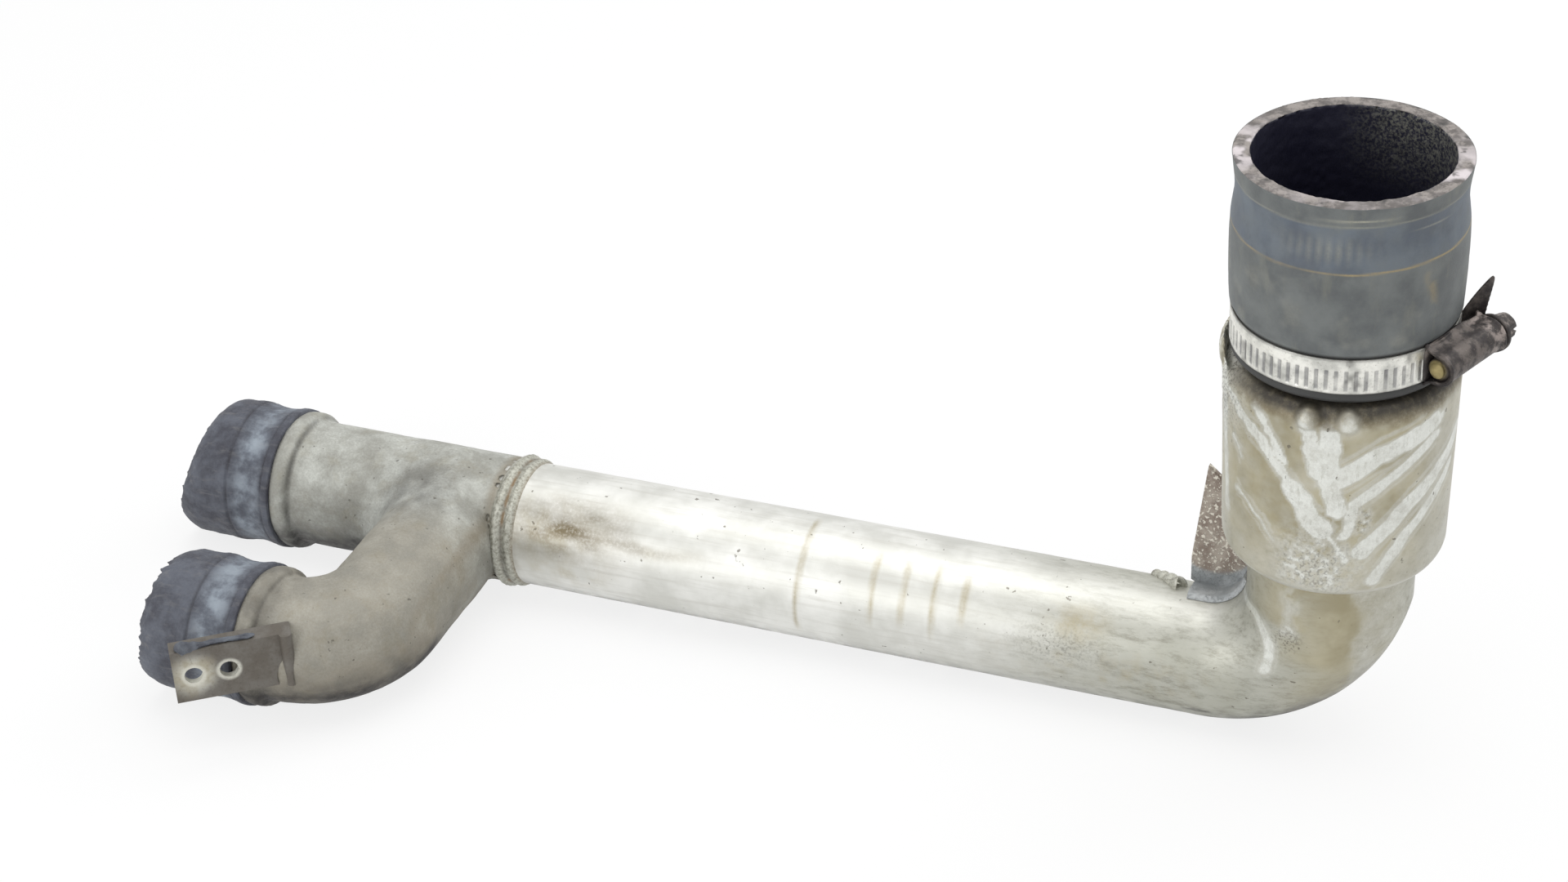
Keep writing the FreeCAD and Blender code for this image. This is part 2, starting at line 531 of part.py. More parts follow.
def make_gusset_weld(clear):
    """A row of weld lumps on the tube, from the gusset's foot outwards."""
    lumps = []
    lump_count = 4
    lump_shrink = 0.12
    for index in range(lump_count):
        size = f"dims.gusset_weld * {1 - lump_shrink * index}"
        angle = f"dims.gusset_weld_start + dims.gusset_weld_turn * {index}"
        base = (f"{GUSSET_X} - dims.gusset_weld_pitch * {index}", f"{PIPE_R} * sin({angle})",
                f"{PIPE_R} * cos({angle})")
        lumps.append(solid("Sphere", f"gusset_lump_{index}", {"Radius": size}, base))
    return cut("gusset_weld_run", fuse("gusset_lumps", lumps), fuse("gusset_weld_clear", clear))


def check(subparts):
    """Stop on any failed object and on any sub-part whose shape is missing or not valid."""
    for obj in doc.Objects:
        if "Invalid" in obj.State or "Error" in obj.State:
            raise RuntimeError(f"{obj.Name} failed: {obj.State}")
    for label, obj in subparts.items():
        if obj.Shape.isNull() or not obj.Shape.isValid() or obj.Shape.Volume <= 0:
            raise RuntimeError(f"{label} has no valid solid")


def set_on_floor(subparts):
    """Move every sub-part alike, so that the origin is below the part's middle, on the floor."""
    box = FreeCAD.BoundBox()
    for obj in subparts.values():
        box.add(obj.Shape.optimalBoundingBox(False, False))
    shift = FreeCAD.Placement(FreeCAD.Vector(-box.Center.x, -box.Center.y, -box.ZMin), UPRIGHT)
    for label, obj in subparts.items():
        obj.Label = label
        obj.Placement = shift.multiply(obj.Placement)
    doc.recompute()
    return shift.Base


main_pipe, pipe_form = make_main_pipe()
resonator_can = make_resonator_can()
can_form = solid("Cone", "can_form", {"Radius1": "dims.can_base_od / 2", "Radius2": "dims.can_top_od / 2",
                                      "Height": "dims.can_height"}, ("0", "0", "dims.can_base"))
branch_form, branch_casting = make_branch_casting()
tab_bracket, tab_weld = make_tab_bracket([branch_form])
gusset_bracket, gusset_form = make_gusset([pipe_form, can_form])
SUBPARTS = {
    "main_pipe": main_pipe,
    "branch_casting": branch_casting,
    "branch_weld": make_ring_weld(
        "branch_weld_ring", PIPE_R, "dims.weld_size", ("-dims.pipe_run + dims.weld_ahead", "0", "0"),
        ALONG_X, fuse("branch_weld_clear", [pipe_form, branch_form])),
    "resonator_can": resonator_can,
    "can_weld": make_ring_weld(
        "can_weld_ring", END_R, "dims.seam_weld", ("0", "0", "dims.can_base"),
        UPRIGHT, fuse("can_weld_clear", [pipe_form, can_form, gusset_form])),
    "perforated_sleeve": make_perforated_sleeve(),
    "top_hose": make_top_hose(),
    "clamp_band": make_clamp_band(),
    "clamp_housing": make_clamp_housing(),
    "clamp_screw": make_clamp_screw(),
    "upper_hose_stub": make_hose_stub("run_hose", RUN_END, RUN_R, "0", "dims.run_stub",
                                      "dims.run_stub_skew"),
    "lower_hose_stub": make_hose_stub("side_hose", SIDE_END, SIDE_R, "-dims.side_offset", "dims.side_stub",
                                      "dims.side_stub_skew"),
    "tab_bracket": tab_bracket,
    "tab_weld": tab_weld,
    "gusset_bracket": gusset_bracket,
    "gusset_weld": make_gusset_weld([pipe_form, gusset_form]),
}
doc.recompute()
check(SUBPARTS)
moved = set_on_floor(SUBPARTS)
check(SUBPARTS)
os.makedirs("parts", exist_ok=True)
for label, obj in SUBPARTS.items():
    obj.Shape.exportStep(f"parts/{label}.step")
    print(label, len(obj.Shape.Solids), round(obj.Shape.Volume, 1))
print("moved by", moved)
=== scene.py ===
import json
import math

import bpy
import numpy as np
import openvdb
from mathutils import Matrix, Vector


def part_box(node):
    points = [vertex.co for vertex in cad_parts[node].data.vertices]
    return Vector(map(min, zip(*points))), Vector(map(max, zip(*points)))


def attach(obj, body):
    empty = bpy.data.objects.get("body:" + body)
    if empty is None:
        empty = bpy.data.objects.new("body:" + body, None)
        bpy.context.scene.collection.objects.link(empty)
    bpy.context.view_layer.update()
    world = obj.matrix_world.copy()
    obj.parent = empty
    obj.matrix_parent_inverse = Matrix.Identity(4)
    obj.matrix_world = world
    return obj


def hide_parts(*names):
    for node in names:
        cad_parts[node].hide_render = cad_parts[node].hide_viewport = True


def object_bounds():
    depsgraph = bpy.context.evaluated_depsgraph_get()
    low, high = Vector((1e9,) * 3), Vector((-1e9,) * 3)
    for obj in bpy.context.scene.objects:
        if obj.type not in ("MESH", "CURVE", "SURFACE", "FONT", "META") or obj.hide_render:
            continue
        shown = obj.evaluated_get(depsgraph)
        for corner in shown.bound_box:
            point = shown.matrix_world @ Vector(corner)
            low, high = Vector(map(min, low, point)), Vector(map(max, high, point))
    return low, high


# Looks of a worn charge-air pressure pipe: drawn tube and elbow, spun can, clamped rubber hose, cast branch.
# Shapes are worked out in millimetres about the corner where the tube's axis meets the can's axis, with the
# tube along -X, the can along +Z and the side branch towards -Y. make_piece sets them in the frame in metres.

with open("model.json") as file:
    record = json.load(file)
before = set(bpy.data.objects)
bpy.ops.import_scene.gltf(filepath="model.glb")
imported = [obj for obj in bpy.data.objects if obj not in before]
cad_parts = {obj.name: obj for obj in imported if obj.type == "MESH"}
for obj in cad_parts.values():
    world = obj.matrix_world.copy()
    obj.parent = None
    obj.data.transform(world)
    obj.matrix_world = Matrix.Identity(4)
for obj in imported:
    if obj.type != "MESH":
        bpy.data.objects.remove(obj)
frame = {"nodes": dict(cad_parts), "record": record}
cad_low, cad_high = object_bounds()

MM = 0.001
PIPE_R = 22.5
PIPE_WALL = 2.0
END_R = 27.6
ELBOW_INNER = 14.0
PIVOT_X = ELBOW_INNER + END_R
PIVOT_Z = ELBOW_INNER + PIPE_R
PIPE_START = -306.5
NECK_TOP = 59.9

CAN_BASE = 54.9
CAN_TOP = 129.5
CAN_BASE_R = 36.4
CAN_TOP_R = 38.0
CAN_WALL = 2.4
BASE_ROUND = 8.2
TOP_ROUND = 7.2
SPIGOT_R = 30.4
SPIGOT_TOP = 151.5
LUG_ANGLES = (-93.0, -74.0)
LUG_Z = 124.9
CORRODED_ANGLE = -165.0

HOSE_BASE = 130.6
HOSE_TOP = 200.2
HOSE_GRIP_R = 35.4
HOSE_BORE_R = 31.6
HOSE_SEAT_R = 30.5

BAND_LOW = 134.2
BAND_HIGH = 146.6
BAND_R = 36.2
WORM_ANGLE = -23.0
WORM_R = 40.6
WORM_Z = (BAND_LOW + BAND_HIGH) / 2

RUN_R = 23.2
RUN_BORE = 19.6
RUN_START = -304.0
RUN_END = -389.0
SIDE_R = 22.3
SIDE_BORE = 18.7
SIDE_X = -325.0
SIDE_BEND = 26.0
SIDE_Y = -93.0
SIDE_END = -352.5
BEAD_WIDTH = 6.0
BEAD_HEIGHT = 2.8
NIPPLE_LENGTH = 24.0
NIPPLE_DROP = 1.8
STUB_WALL = 5.0
STUB_LENGTH = 40.0

GUSSET_OUTER = -49.6
GUSSET_INNER = -27.5
GUSSET_BACK = 7.5
GUSSET_GAUGE = 2.0

hose_low, hose_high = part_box("top_hose")
pipe_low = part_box("main_pipe")[0]
CORNER = np.array([(hose_low.x + hose_high.x) / 2, (hose_low.y + hose_high.y) / 2, pipe_low.z + PIPE_R * MM])


# Noise and soft steps

HASH_FACTORS = np.array([374761393, 668265263, 974634721])


def smooth(low, high, x):
    """An S-shaped step from 0 at low to 1 at high."""
    share = np.clip((x - low) / (high - low), 0, 1)
    return share * share * (3 - 2 * share)


def bump(x, centre, width):
    """A soft hump: 1 at the centre, 0 from one width away."""
    return 1 - smooth(0, width, np.abs(x - centre))


def lattice(points, seed):
    """Value noise from -1 to 1: a random number at each whole place, eased between the eight round it."""
    cell = np.floor(points).astype(np.int64)
    share = points - cell
    share = share * share * (3 - 2 * share)
    total = np.zeros(points.shape[:-1])
    for corner in np.ndindex(2, 2, 2):
        at = cell + np.array(corner)
        mixed = (at * HASH_FACTORS).sum(-1)
        mixed = (mixed + seed * 144665) & 0xFFFFFFFF
        mixed = ((mixed ^ (mixed >> 13)) * 1274126177) & 0xFFFFFFFF
        number = ((mixed ^ (mixed >> 16)) & 0xFFFF) / 32767.5 - 1
        total += number * np.prod(np.where(corner, share, 1 - share), axis=-1)
    return total


def rough(points, size, seed, layers=3):
    """Noise in several layers, each half as large and half as strong as the last, about -1 to 1."""
    total = np.zeros(points.shape[:-1])
    for layer in range(layers):
        total += lattice(points * 2 ** layer / size, seed + layer) / 2 ** layer
    return total / 1.5


# Meshes from grids

def grid_quads(rows, columns, wrap_rows):
    """Four corners of each cell of a grid whose columns close on themselves, and its rows too where asked."""
    index = np.arange(rows * columns).reshape(rows, columns)
    right = np.roll(index, -1, axis=1)
    quads = np.stack([index, right, np.roll(right, -1, axis=0), np.roll(index, -1, axis=0)], -1)
    return (quads if wrap_rows else quads[:-1]).reshape(-1, 4)


def volume_of(points, faces):
    """Signed volume inside a closed mesh of quads or triangles."""
    a, b, c = (points[faces[:, i]] for i in range(3))
    total = np.einsum("ij,ij->", a, np.cross(b, c))
    if faces.shape[1] == 4:
        d = points[faces[:, 3]]
        total += np.einsum("ij,ij->", a, np.cross(c, d))
    return total / 6


def make_piece(name, parts, material, nodes=(), masks=None):
    """One object from a list of closed (points, list of face arrays), set in the frame with its masks."""
    points = []
    faces = []
    start = 0
    for part_points, part_faces in parts:
        inside = sum(volume_of(part_points, group) for group in part_faces)
        for group in part_faces:
            ordered = group if inside > 0 else group[:, ::-1]
            faces += (ordered + start).tolist()
        points.append(part_points)
        start += len(part_points)
    places = np.concatenate(points) * MM + CORNER
    mesh = bpy.data.meshes.new(name)
    mesh.from_pydata(places.tolist(), [], faces)
    mesh.polygons.foreach_set("use_smooth", np.ones(len(faces), bool))
    for mask, values in (masks or {}).items():
        layer = mesh.attributes.new(mask, "FLOAT", "POINT")
        layer.data.foreach_set("value", np.clip(values, 0, 1).astype(np.float32).ravel())
    mesh.materials.append(material)
    mesh.update()
    piece = bpy.data.objects.new(name, mesh)
    bpy.context.scene.collection.objects.link(piece)
    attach(piece, "root")
    if nodes:
        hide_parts(*nodes)
    return piece


def tube_part(grid):
    """A grid that closes both ways, as a wall with an outside and an inside has."""
    rows, columns = grid.shape[:2]
    return grid.reshape(-1, 3), [grid_quads(rows, columns, True)]


def capped_part(grid):
    """A grid that closes round its columns, with a fan of triangles to the middle of each end ring."""
    rows, columns = grid.shape[:2]
    points = np.concatenate([grid.reshape(-1, 3), grid[:1].mean(1), grid[-1:].mean(1)])
    ring = np.arange(columns)
    after = np.roll(ring, -1)
    last = (rows - 1) * columns
    first_fan = np.stack([after, ring, np.full(columns, rows * columns)], -1)
    last_fan = np.stack([last + ring, last + after, np.full(columns, rows * columns + 1)], -1)
    return points, [grid_quads(rows, columns, False), np.concatenate([first_fan, last_fan])]


def capped_strip(grid):
    """A section loop carried along a path, with each end closed by quads across the wall's two faces."""
    rows, columns = grid.shape[:2]
    ring = np.arange(columns // 2 - 1)
    close = np.stack([ring, ring + 1, columns - 2 - ring, columns - 1 - ring], -1)
    last = (rows - 1) * columns
    walls = grid_quads(rows, columns, False)
    return grid.reshape(-1, 3), [np.concatenate([walls, close[:, ::-1], close + last])]


def full_turn(columns):
    """Evenly spread angles of one whole turn in radians, from the far side round."""
    return np.linspace(-math.pi, math.pi, columns, endpoint=False)


def turned(profile, columns, swell=None):
    """A half section of (radius, height) turned about Z; swell adds to the radius at each row and angle."""
    turn = full_turn(columns)
    radius = profile[:, :1] + (0 if swell is None else swell)
    flat = np.stack([np.cos(turn), np.sin(turn)], -1)
    grid = np.empty((len(profile), columns, 3))
    grid[..., :2] = radius[..., None] * flat
    grid[..., 2] = profile[:, 1:]
    return grid


def along(start, end, count):
    """Points on a straight line, its end left out."""
    share = np.linspace(0, 1, count, endpoint=False)[:, None]
    return np.array(start) * (1 - share) + np.array(end) * share


def arc(centre, radius, first, last, count):
    """Points on a circle between two angles in degrees, its end left out."""
    angle = np.radians(np.linspace(first, last, count, endpoint=False))
    return np.array(centre) + radius * np.stack([np.cos(angle), np.sin(angle)], -1)


def angle_of(points):
    """Degrees round the can's axis."""
    return np.degrees(np.arctan2(points[..., 1], points[..., 0]))


def round_from(angle, centre):
    """Degrees from a place round the can, from -180 to 180."""
    return (angle - centre + 180) % 360 - 180


def rounded_ends(share, steepness, least):
    """A rod's thickness along its length: 1 in the middle, drawn in like a square root towards both ends."""
    return np.sqrt(np.clip(np.minimum(share, 1 - share) * steepness, least, 1))


def stroke(across, up, path, width, edge):
    """How much a place lies within a painted stroke along a path of points, with a soft edge."""
    nearest = np.full(np.shape(across), 1e9)
    for (x0, y0), (x1, y1) in zip(path[:-1], path[1:]):
        dx, dy = x1 - x0, y1 - y0
        share = np.clip(((across - x0) * dx + (up - y0) * dy) / (dx * dx + dy * dy), 0, 1)
        nearest = np.minimum(nearest, np.hypot(across - x0 - share * dx, up - y0 - share * dy))
    return 1 - smooth(width / 2 - edge, width / 2 + edge, nearest)


# Finishes, each made of nodes on object coordinates and the pieces' own masks

class Nodes:
    """A material's node tree with short ways to add the nodes used here."""

    def __init__(self, name):
        self.material = bpy.data.materials.new(name)
        self.material.use_nodes = True
        self.tree = self.material.node_tree
        self.shader = self.tree.nodes["Principled BSDF"]
        self.place = self.tree.nodes.new("ShaderNodeTexCoord").outputs["Object"]

    def link(self, value, socket):
        """Join a socket to an input, or set the input to a plain value."""
        if isinstance(value, bpy.types.NodeSocket):
            self.tree.links.new(value, socket)
        else:
            socket.default_value = value

    def noise(self, size_mm, detail=4.0, rough=0.6, place=None):
        """Blender's noise with features of about one size, from 0 to 1."""
        node = self.tree.nodes.new("ShaderNodeTexNoise")
        self.tree.links.new(place or self.place, node.inputs["Vector"])
        node.inputs["Scale"].default_value = 1 / (size_mm * MM)
        node.inputs["Detail"].default_value = detail
        node.inputs["Roughness"].default_value = rough
        return node.outputs["Fac"]

    def stretched(self, scale):
        """Object coordinates squeezed along some axes, for brushed or wiped marks."""
        node = self.tree.nodes.new("ShaderNodeMapping")
        self.tree.links.new(self.place, node.inputs["Vector"])
        node.inputs["Scale"].default_value = scale
        return node.outputs["Vector"]

    def mask(self, name):
        """A mask painted on the piece's own points."""
        node = self.tree.nodes.new("ShaderNodeAttribute")
        node.attribute_name = name
        return node.outputs["Fac"]

    def step(self, value, low, high, out_low=0.0, out_high=1.0):
        """A soft step from out_low to out_high."""
        node = self.tree.nodes.new("ShaderNodeMapRange")
        node.interpolation_type = "SMOOTHSTEP"
        self.link(value, node.inputs["Value"])
        ends = {"From Min": low, "From Max": high, "To Min": out_low, "To Max": out_high}
        for socket, number in ends.items():
            node.inputs[socket].default_value = number
        return node.outputs["Result"]

    def math(self, kind, a, b=0.0):
        """One arithmetic step on two sockets or plain values."""
        node = self.tree.nodes.new("ShaderNodeMath")
        node.operation = kind
        self.link(a, node.inputs[0])
        self.link(b, node.inputs[1])
        return node.outputs["Value"]

    def times(self, a, b):
        """The product of two sockets or plain values."""
        return self.math("MULTIPLY", a, b)

    def mix(self, factor, low, high):
        """One colour over another."""
        node = self.tree.nodes.new("ShaderNodeMix")
        node.data_type = "RGBA"
        self.link(factor, node.inputs["Factor"])
        self.link(low, node.inputs["A"])
        self.link(high, node.inputs["B"])
        return node.outputs["Result"]

    def stain(self, color, mask, pattern, low, high, least, tint):
        """A tint over a colour within a mask, from least to all of it as the pattern rises."""
        return self.mix(self.times(self.mask(mask), self.step(pattern, low, high, least)), color, tint)

    def finish(self, color, roughness, metallic, height=None, depth_mm=0.1):
        """Join colour, roughness and bump to the shader."""
        self.link(color, self.shader.inputs["Base Color"])
        self.link(roughness, self.shader.inputs["Roughness"])
        self.link(metallic, self.shader.inputs["Metallic"])
        if height is not None:
            node = self.tree.nodes.new("ShaderNodeBump")
            node.inputs["Strength"].default_value = 1.0
            node.inputs["Distance"].default_value = depth_mm * MM
            self.link(height, node.inputs["Height"])
            self.link(node.outputs["Normal"], self.shader.inputs["Normal"])
        return self.material


def rgb(red, green, blue):
    """A colour given in display values of 0 to 255, as Blender's linear colour."""
    share = np.array([red, green, blue]) / 255
    linear = np.where(share <= 0.04045, share / 12.92, ((share + 0.055) / 1.055) ** 2.4)
    return (*linear.tolist(), 1.0)


def weathered_aluminium():
    """Drawn and spun aluminium: silver under a tan film, with pale wiped streaks, stains, pits, and
    near-black dirt and painted shade.
    """
    n = Nodes("weathered_aluminium")
    fine = n.noise(1.1, 5, 0.7)
    broad = n.noise(22, 4, 0.6)
    brushed = n.noise(1.6, 3, 0.6, n.stretched((0.06, 1, 1)))
    silver = n.mix(n.step(broad, 0.35, 0.7), rgb(206, 206, 200), rgb(230, 230, 226))
    silver = n.mix(n.step(brushed, 0.45, 0.75, 0.0, 0.35), silver, rgb(188, 186, 178))
    film = n.mix(n.step(broad, 0.35, 0.65), rgb(154, 146, 119), rgb(181, 174, 149))
    film_here = n.times(n.mask("film"), n.step(fine, 0.05, 0.35, 0.8, 1.0))
    # Greyed, mottled silver where the mask asks: a duller tone, and on the tube near the elbow also painted
    # shade.
    silver = n.stain(silver, "dull", broad, 0.3, 0.7, 0.7, rgb(168, 168, 156))
    mottle = n.step(n.noise(3.2, 7, 0.8, n.stretched((0.3, 1, 1))), 0.44, 0.68, 0.0, 0.6)
    silver = n.mix(n.times(n.mask("dull"), mottle), silver, rgb(118, 115, 101))
    color = n.mix(film_here, silver, film)
    pale = n.mix(fine, rgb(208, 210, 204), rgb(240, 241, 236))
    wiped = n.times(n.mask("pale"), n.step(n.noise(6, 7, 0.85), 0.36, 0.56, 0.42, 1.0))
    color = n.mix(wiped, color, pale)
    hatch = n.step(n.noise(1.2, 4, 0.7, n.stretched((1, 1, 0.3))), 0.5, 0.72, 0.0, 0.4)
    color = n.mix(n.times(n.mask("pale"), hatch), color, rgb(164, 162, 148))
    rim = n.times(n.mask("pale"), n.math("SUBTRACT", 1.0, n.mask("pale")))
    color = n.mix(n.step(rim, 0.16, 0.25, 0.0, 0.2), color, rgb(136, 128, 106))
    color = n.stain(color, "tan", fine, 0.2, 0.6, 0.45, rgb(170, 160, 132))
    color = n.stain(color, "brown", fine, 0.25, 0.6, 0.5, rgb(114, 103, 80))
    # Near-black where the mask asks: dirt, and painted shade under the elbow, in its bend and inside the
    # pieces.
    grime_and_shade = n.times(n.mask("grime_and_shade"), n.step(n.noise(3.5, 5, 0.7), 0.25, 0.6, 0.55, 1.0))
    color = n.mix(grime_and_shade, color, rgb(58, 55, 51))
    pits = n.times(n.mask("pits"), n.step(n.noise(0.9, 2, 0.5), 0.5, 0.62))
    color = n.mix(pits, color, rgb(84, 80, 72))
    specks = n.times(n.step(n.noise(2.6, 2, 0.5), 0.71, 0.76), 0.7)
    color = n.mix(specks, color, rgb(98, 92, 80))
    roughness = n.step(broad, 0.3, 0.7, 0.42, 0.56)
    metallic = n.math("SUBTRACT", 0.85, n.times(n.math("MAXIMUM", grime_and_shade, film_here), 0.35))
    height = n.math("ADD", n.times(fine, 0.5), n.times(pits, -1.0))
    return n.finish(color, roughness, metallic, height, 0.10)


def sand_cast_aluminium():
    """Sand-cast aluminium: matt grey-beige with a grainy skin, brown blotches, and darker undersides that are
    painted shade.
    """
    n = Nodes("sand_cast_aluminium")
    grain = n.noise(0.9, 4, 0.65)
    blotch = n.noise(16, 5, 0.6)
    color = n.mix(n.step(blotch, 0.36, 0.66), rgb(164, 164, 157), rgb(204, 206, 200))
    color = n.mix(n.step(n.noise(9, 4, 0.6), 0.5, 0.72, 0.0, 0.35), color, rgb(158, 152, 132))
    color = n.mix(n.step(grain, 0.3, 0.75, 0.35, 0.0), color, rgb(104, 101, 90))
    # Brown: blotches, and on the side branch heavier low down as painted shade.
    color = n.stain(color, "brown", blotch, 0.3, 0.6, 0.4, rgb(124, 110, 86))
    # Near-black where the mask asks: painted shade beneath, in the crotch, behind the beads, beside the tab
    # and in the bores; dirt over the crossing.
    grime_and_shade = n.times(n.mask("grime_and_shade"), n.step(n.noise(5, 5, 0.65), 0.25, 0.62, 0.68, 1.0))
    color = n.mix(grime_and_shade, color, rgb(34, 30, 29))
    specks = n.step(n.noise(2.2, 2, 0.5), 0.70, 0.75)
    color = n.mix(n.times(specks, 0.6), color, rgb(72, 66, 58))
    metallic = n.math("SUBTRACT", 0.45, n.times(grime_and_shade, 0.35))
    height = n.math("ADD", grain, n.times(n.noise(3.2, 3, 0.6), 1.5))
    return n.finish(color, n.step(grain, 0.3, 0.7, 0.58, 0.72), metallic, height, 0.16)


def weld_metal():
    """Rough weld bead: pale grey ripples with dark and brown dirt in the hollows."""
    n = Nodes("weld_metal")
    grain = n.noise(1.2, 5, 0.7)
    color = n.mix(n.step(grain, 0.3, 0.65), rgb(132, 130, 118), rgb(196, 196, 186))
    color = n.mix(n.mask("brown"), color, rgb(122, 101, 74))
    color = n.mix(n.mask("grime_and_shade"), color, rgb(62, 58, 52))
    return n.finish(color, n.step(grain, 0.3, 0.7, 0.45, 0.65), 0.7, grain, 0.25)


def hose_rubber():
    """Aged matt hose rubber: grey-olive, bluish where a clamp sat, with worn rim, dust and a dark inside."""
    n = Nodes("hose_rubber")
    fine = n.noise(0.8, 4, 0.65)
    cloud = n.noise(14, 5, 0.6)
    color = n.mix(n.step(cloud, 0.32, 0.68), rgb(86, 90, 91), rgb(112, 116, 115))
    rubbed = n.noise(6, 4, 0.6, n.stretched((1, 1, 0.25)))
    color = n.mix(n.step(rubbed, 0.55, 0.75, 0.0, 0.4), color, rgb(126, 126, 114))
    blue = n.mix(n.step(cloud, 0.3, 0.7), rgb(82, 90, 101), rgb(104, 113, 122))
    color = n.mix(n.mask("imprint"), color, blue)
    color = n.stain(color, "pale", fine, 0.2, 0.6, 0.4, rgb(168, 166, 150))
    color = n.stain(color, "tan", fine, 0.2, 0.6, 0.5, rgb(164, 146, 104))
    rim = n.mix(n.step(n.noise(5, 4, 0.7), 0.42, 0.62), rgb(98, 93, 90), rgb(150, 143, 138))
    rim = n.mix(n.mask("worn"), rim, rgb(216, 208, 210))
    color = n.mix(n.mask("rim"), color, rim)
    crumbs = n.noise(1.0, 4, 0.7)
    dark = n.stain(rgb(26, 26, 46), "dust", crumbs, 0.42, 0.62, 0.0, rgb(118, 118, 110))
    color = n.mix(n.mask("inside"), color, dark)
    # Dark where the mask asks: painted shade on the lips beside the clamp, and dirt in the rim's chips.
    color = n.mix(n.mask("grime_and_shade"), color, rgb(44, 43, 42))
    height = n.math("ADD", fine, n.times(n.mask("dust"), crumbs))
    return n.finish(color, n.step(cloud, 0.3, 0.7, 0.52, 0.66), 0.0, height, 0.10)


def stub_rubber():
    """Old torn hose rubber: black and blue-grey, with lighter clamp bands and frayed ends."""
    n = Nodes("stub_rubber")
    fine = n.noise(0.9, 4, 0.7)
    cloud = n.noise(9, 5, 0.62)
    color = n.mix(n.step(cloud, 0.32, 0.68), rgb(60, 61, 70), rgb(92, 96, 106))
    drawn = n.noise(2.4, 3, 0.6, n.stretched((0.25, 1, 1)))
    color = n.mix(n.step(drawn, 0.52, 0.75, 0.0, 0.5), color, rgb(116, 116, 118))
    blue = n.mix(n.step(cloud, 0.35, 0.65), rgb(112, 120, 132), rgb(158, 168, 178))
    color = n.stain(color, "imprint", cloud, 0.3, 0.6, 0.45, blue)
    # Dark where the mask asks: darker in the grooves, painted shade on the underside and inside the torn
    # ends, and evenly a little darker on the flap.
    color = n.mix(n.mask("grime_and_shade"), color, rgb(34, 32, 36))
    return n.finish(color, n.step(fine, 0.3, 0.7, 0.55, 0.75), 0.0, n.math("ADD", fine, cloud), 0.18)


def strap_steel():
    """Oxidised clamp strap: bright steel under creamy oxide, darker in the pressed slots."""
    n = Nodes("strap_steel")
    grain = n.noise(0.9, 5, 0.7)
    patch = n.noise(7, 5, 0.6)
    color = n.mix(n.step(patch, 0.35, 0.65), rgb(196, 196, 190), rgb(238, 237, 230))
    color = n.mix(n.step(grain, 0.55, 0.75, 0.0, 0.6), color, rgb(122, 118, 108))
    color = n.mix(n.times(n.mask("slot"), n.step(patch, 0.3, 0.7, 0.95, 0.6)), color, rgb(112, 112, 116))
    color = n.mix(n.mask("grime_and_shade"), color, rgb(56, 53, 50))
    return n.finish(color, n.step(grain, 0.3, 0.7, 0.34, 0.52), 0.75, grain, 0.08)


def dark_clamp_steel():
    """Corroded clamp housing and worm: dark brown-grey with pale crust, and a brassy worm tip."""
    n = Nodes("dark_clamp_steel")
    grain = n.noise(1.0, 5, 0.7)
    patch = n.noise(5, 5, 0.6)
    color = n.mix(n.step(patch, 0.35, 0.65), rgb(56, 52, 52), rgb(92, 86, 82))
    color = n.stain(color, "crust", patch, 0.46, 0.6, 0.0, rgb(176, 164, 158))
    color = n.mix(n.step(grain, 0.62, 0.72, 0.0, 0.7), color, rgb(158, 150, 140))
    color = n.mix(n.mask("brass"), color, n.mix(grain, rgb(120, 104, 66), rgb(176, 164, 116)))
    return n.finish(color, n.step(grain, 0.3, 0.7, 0.42, 0.62), 0.6, n.math("ADD", grain, patch), 0.15)


def tab_steel():
    """Stained sheet tab and its weld: cream and khaki, dark brown away from the outer hole as rust and
    painted shade, white washer rings.
    """
    n = Nodes("tab_steel")
    grain = n.noise(1.0, 5, 0.7)
    patch = n.noise(9, 5, 0.6)
    color = n.mix(n.step(patch, 0.36, 0.62), rgb(172, 166, 148), rgb(222, 221, 210))
    color = n.mix(n.step(grain, 0.55, 0.72, 0.0, 0.5), color, rgb(104, 92, 76))
    for mount in frame["record"]["mounts"]:
        if mount["name"].startswith("tab_hole"):
            node = n.tree.nodes.new("ShaderNodeVectorMath")
            node.operation = "DISTANCE"
            n.tree.links.new(n.place, node.inputs[0])
            node.inputs[1].default_value = mount["pos_m"]
            ring = n.step(node.outputs["Value"], 3.9 * MM, 5.2 * MM, 0.85, 0.0)
            if mount["name"].endswith("outer"):
                # Dark brown further from the outer hole: partly rust, partly painted shade.
                far = n.math("ADD", node.outputs["Value"], n.times(patch, 8 * MM))
                color = n.mix(n.step(far, 7 * MM, 15 * MM, 0.0, 0.88), color, rgb(82, 76, 71))
            color = n.mix(n.times(ring, n.step(grain, 0.2, 0.6, 0.4, 1.0)), color, rgb(214, 213, 202))
    return n.finish(color, n.step(grain, 0.3, 0.7, 0.45, 0.65), 0.35, grain, 0.12)


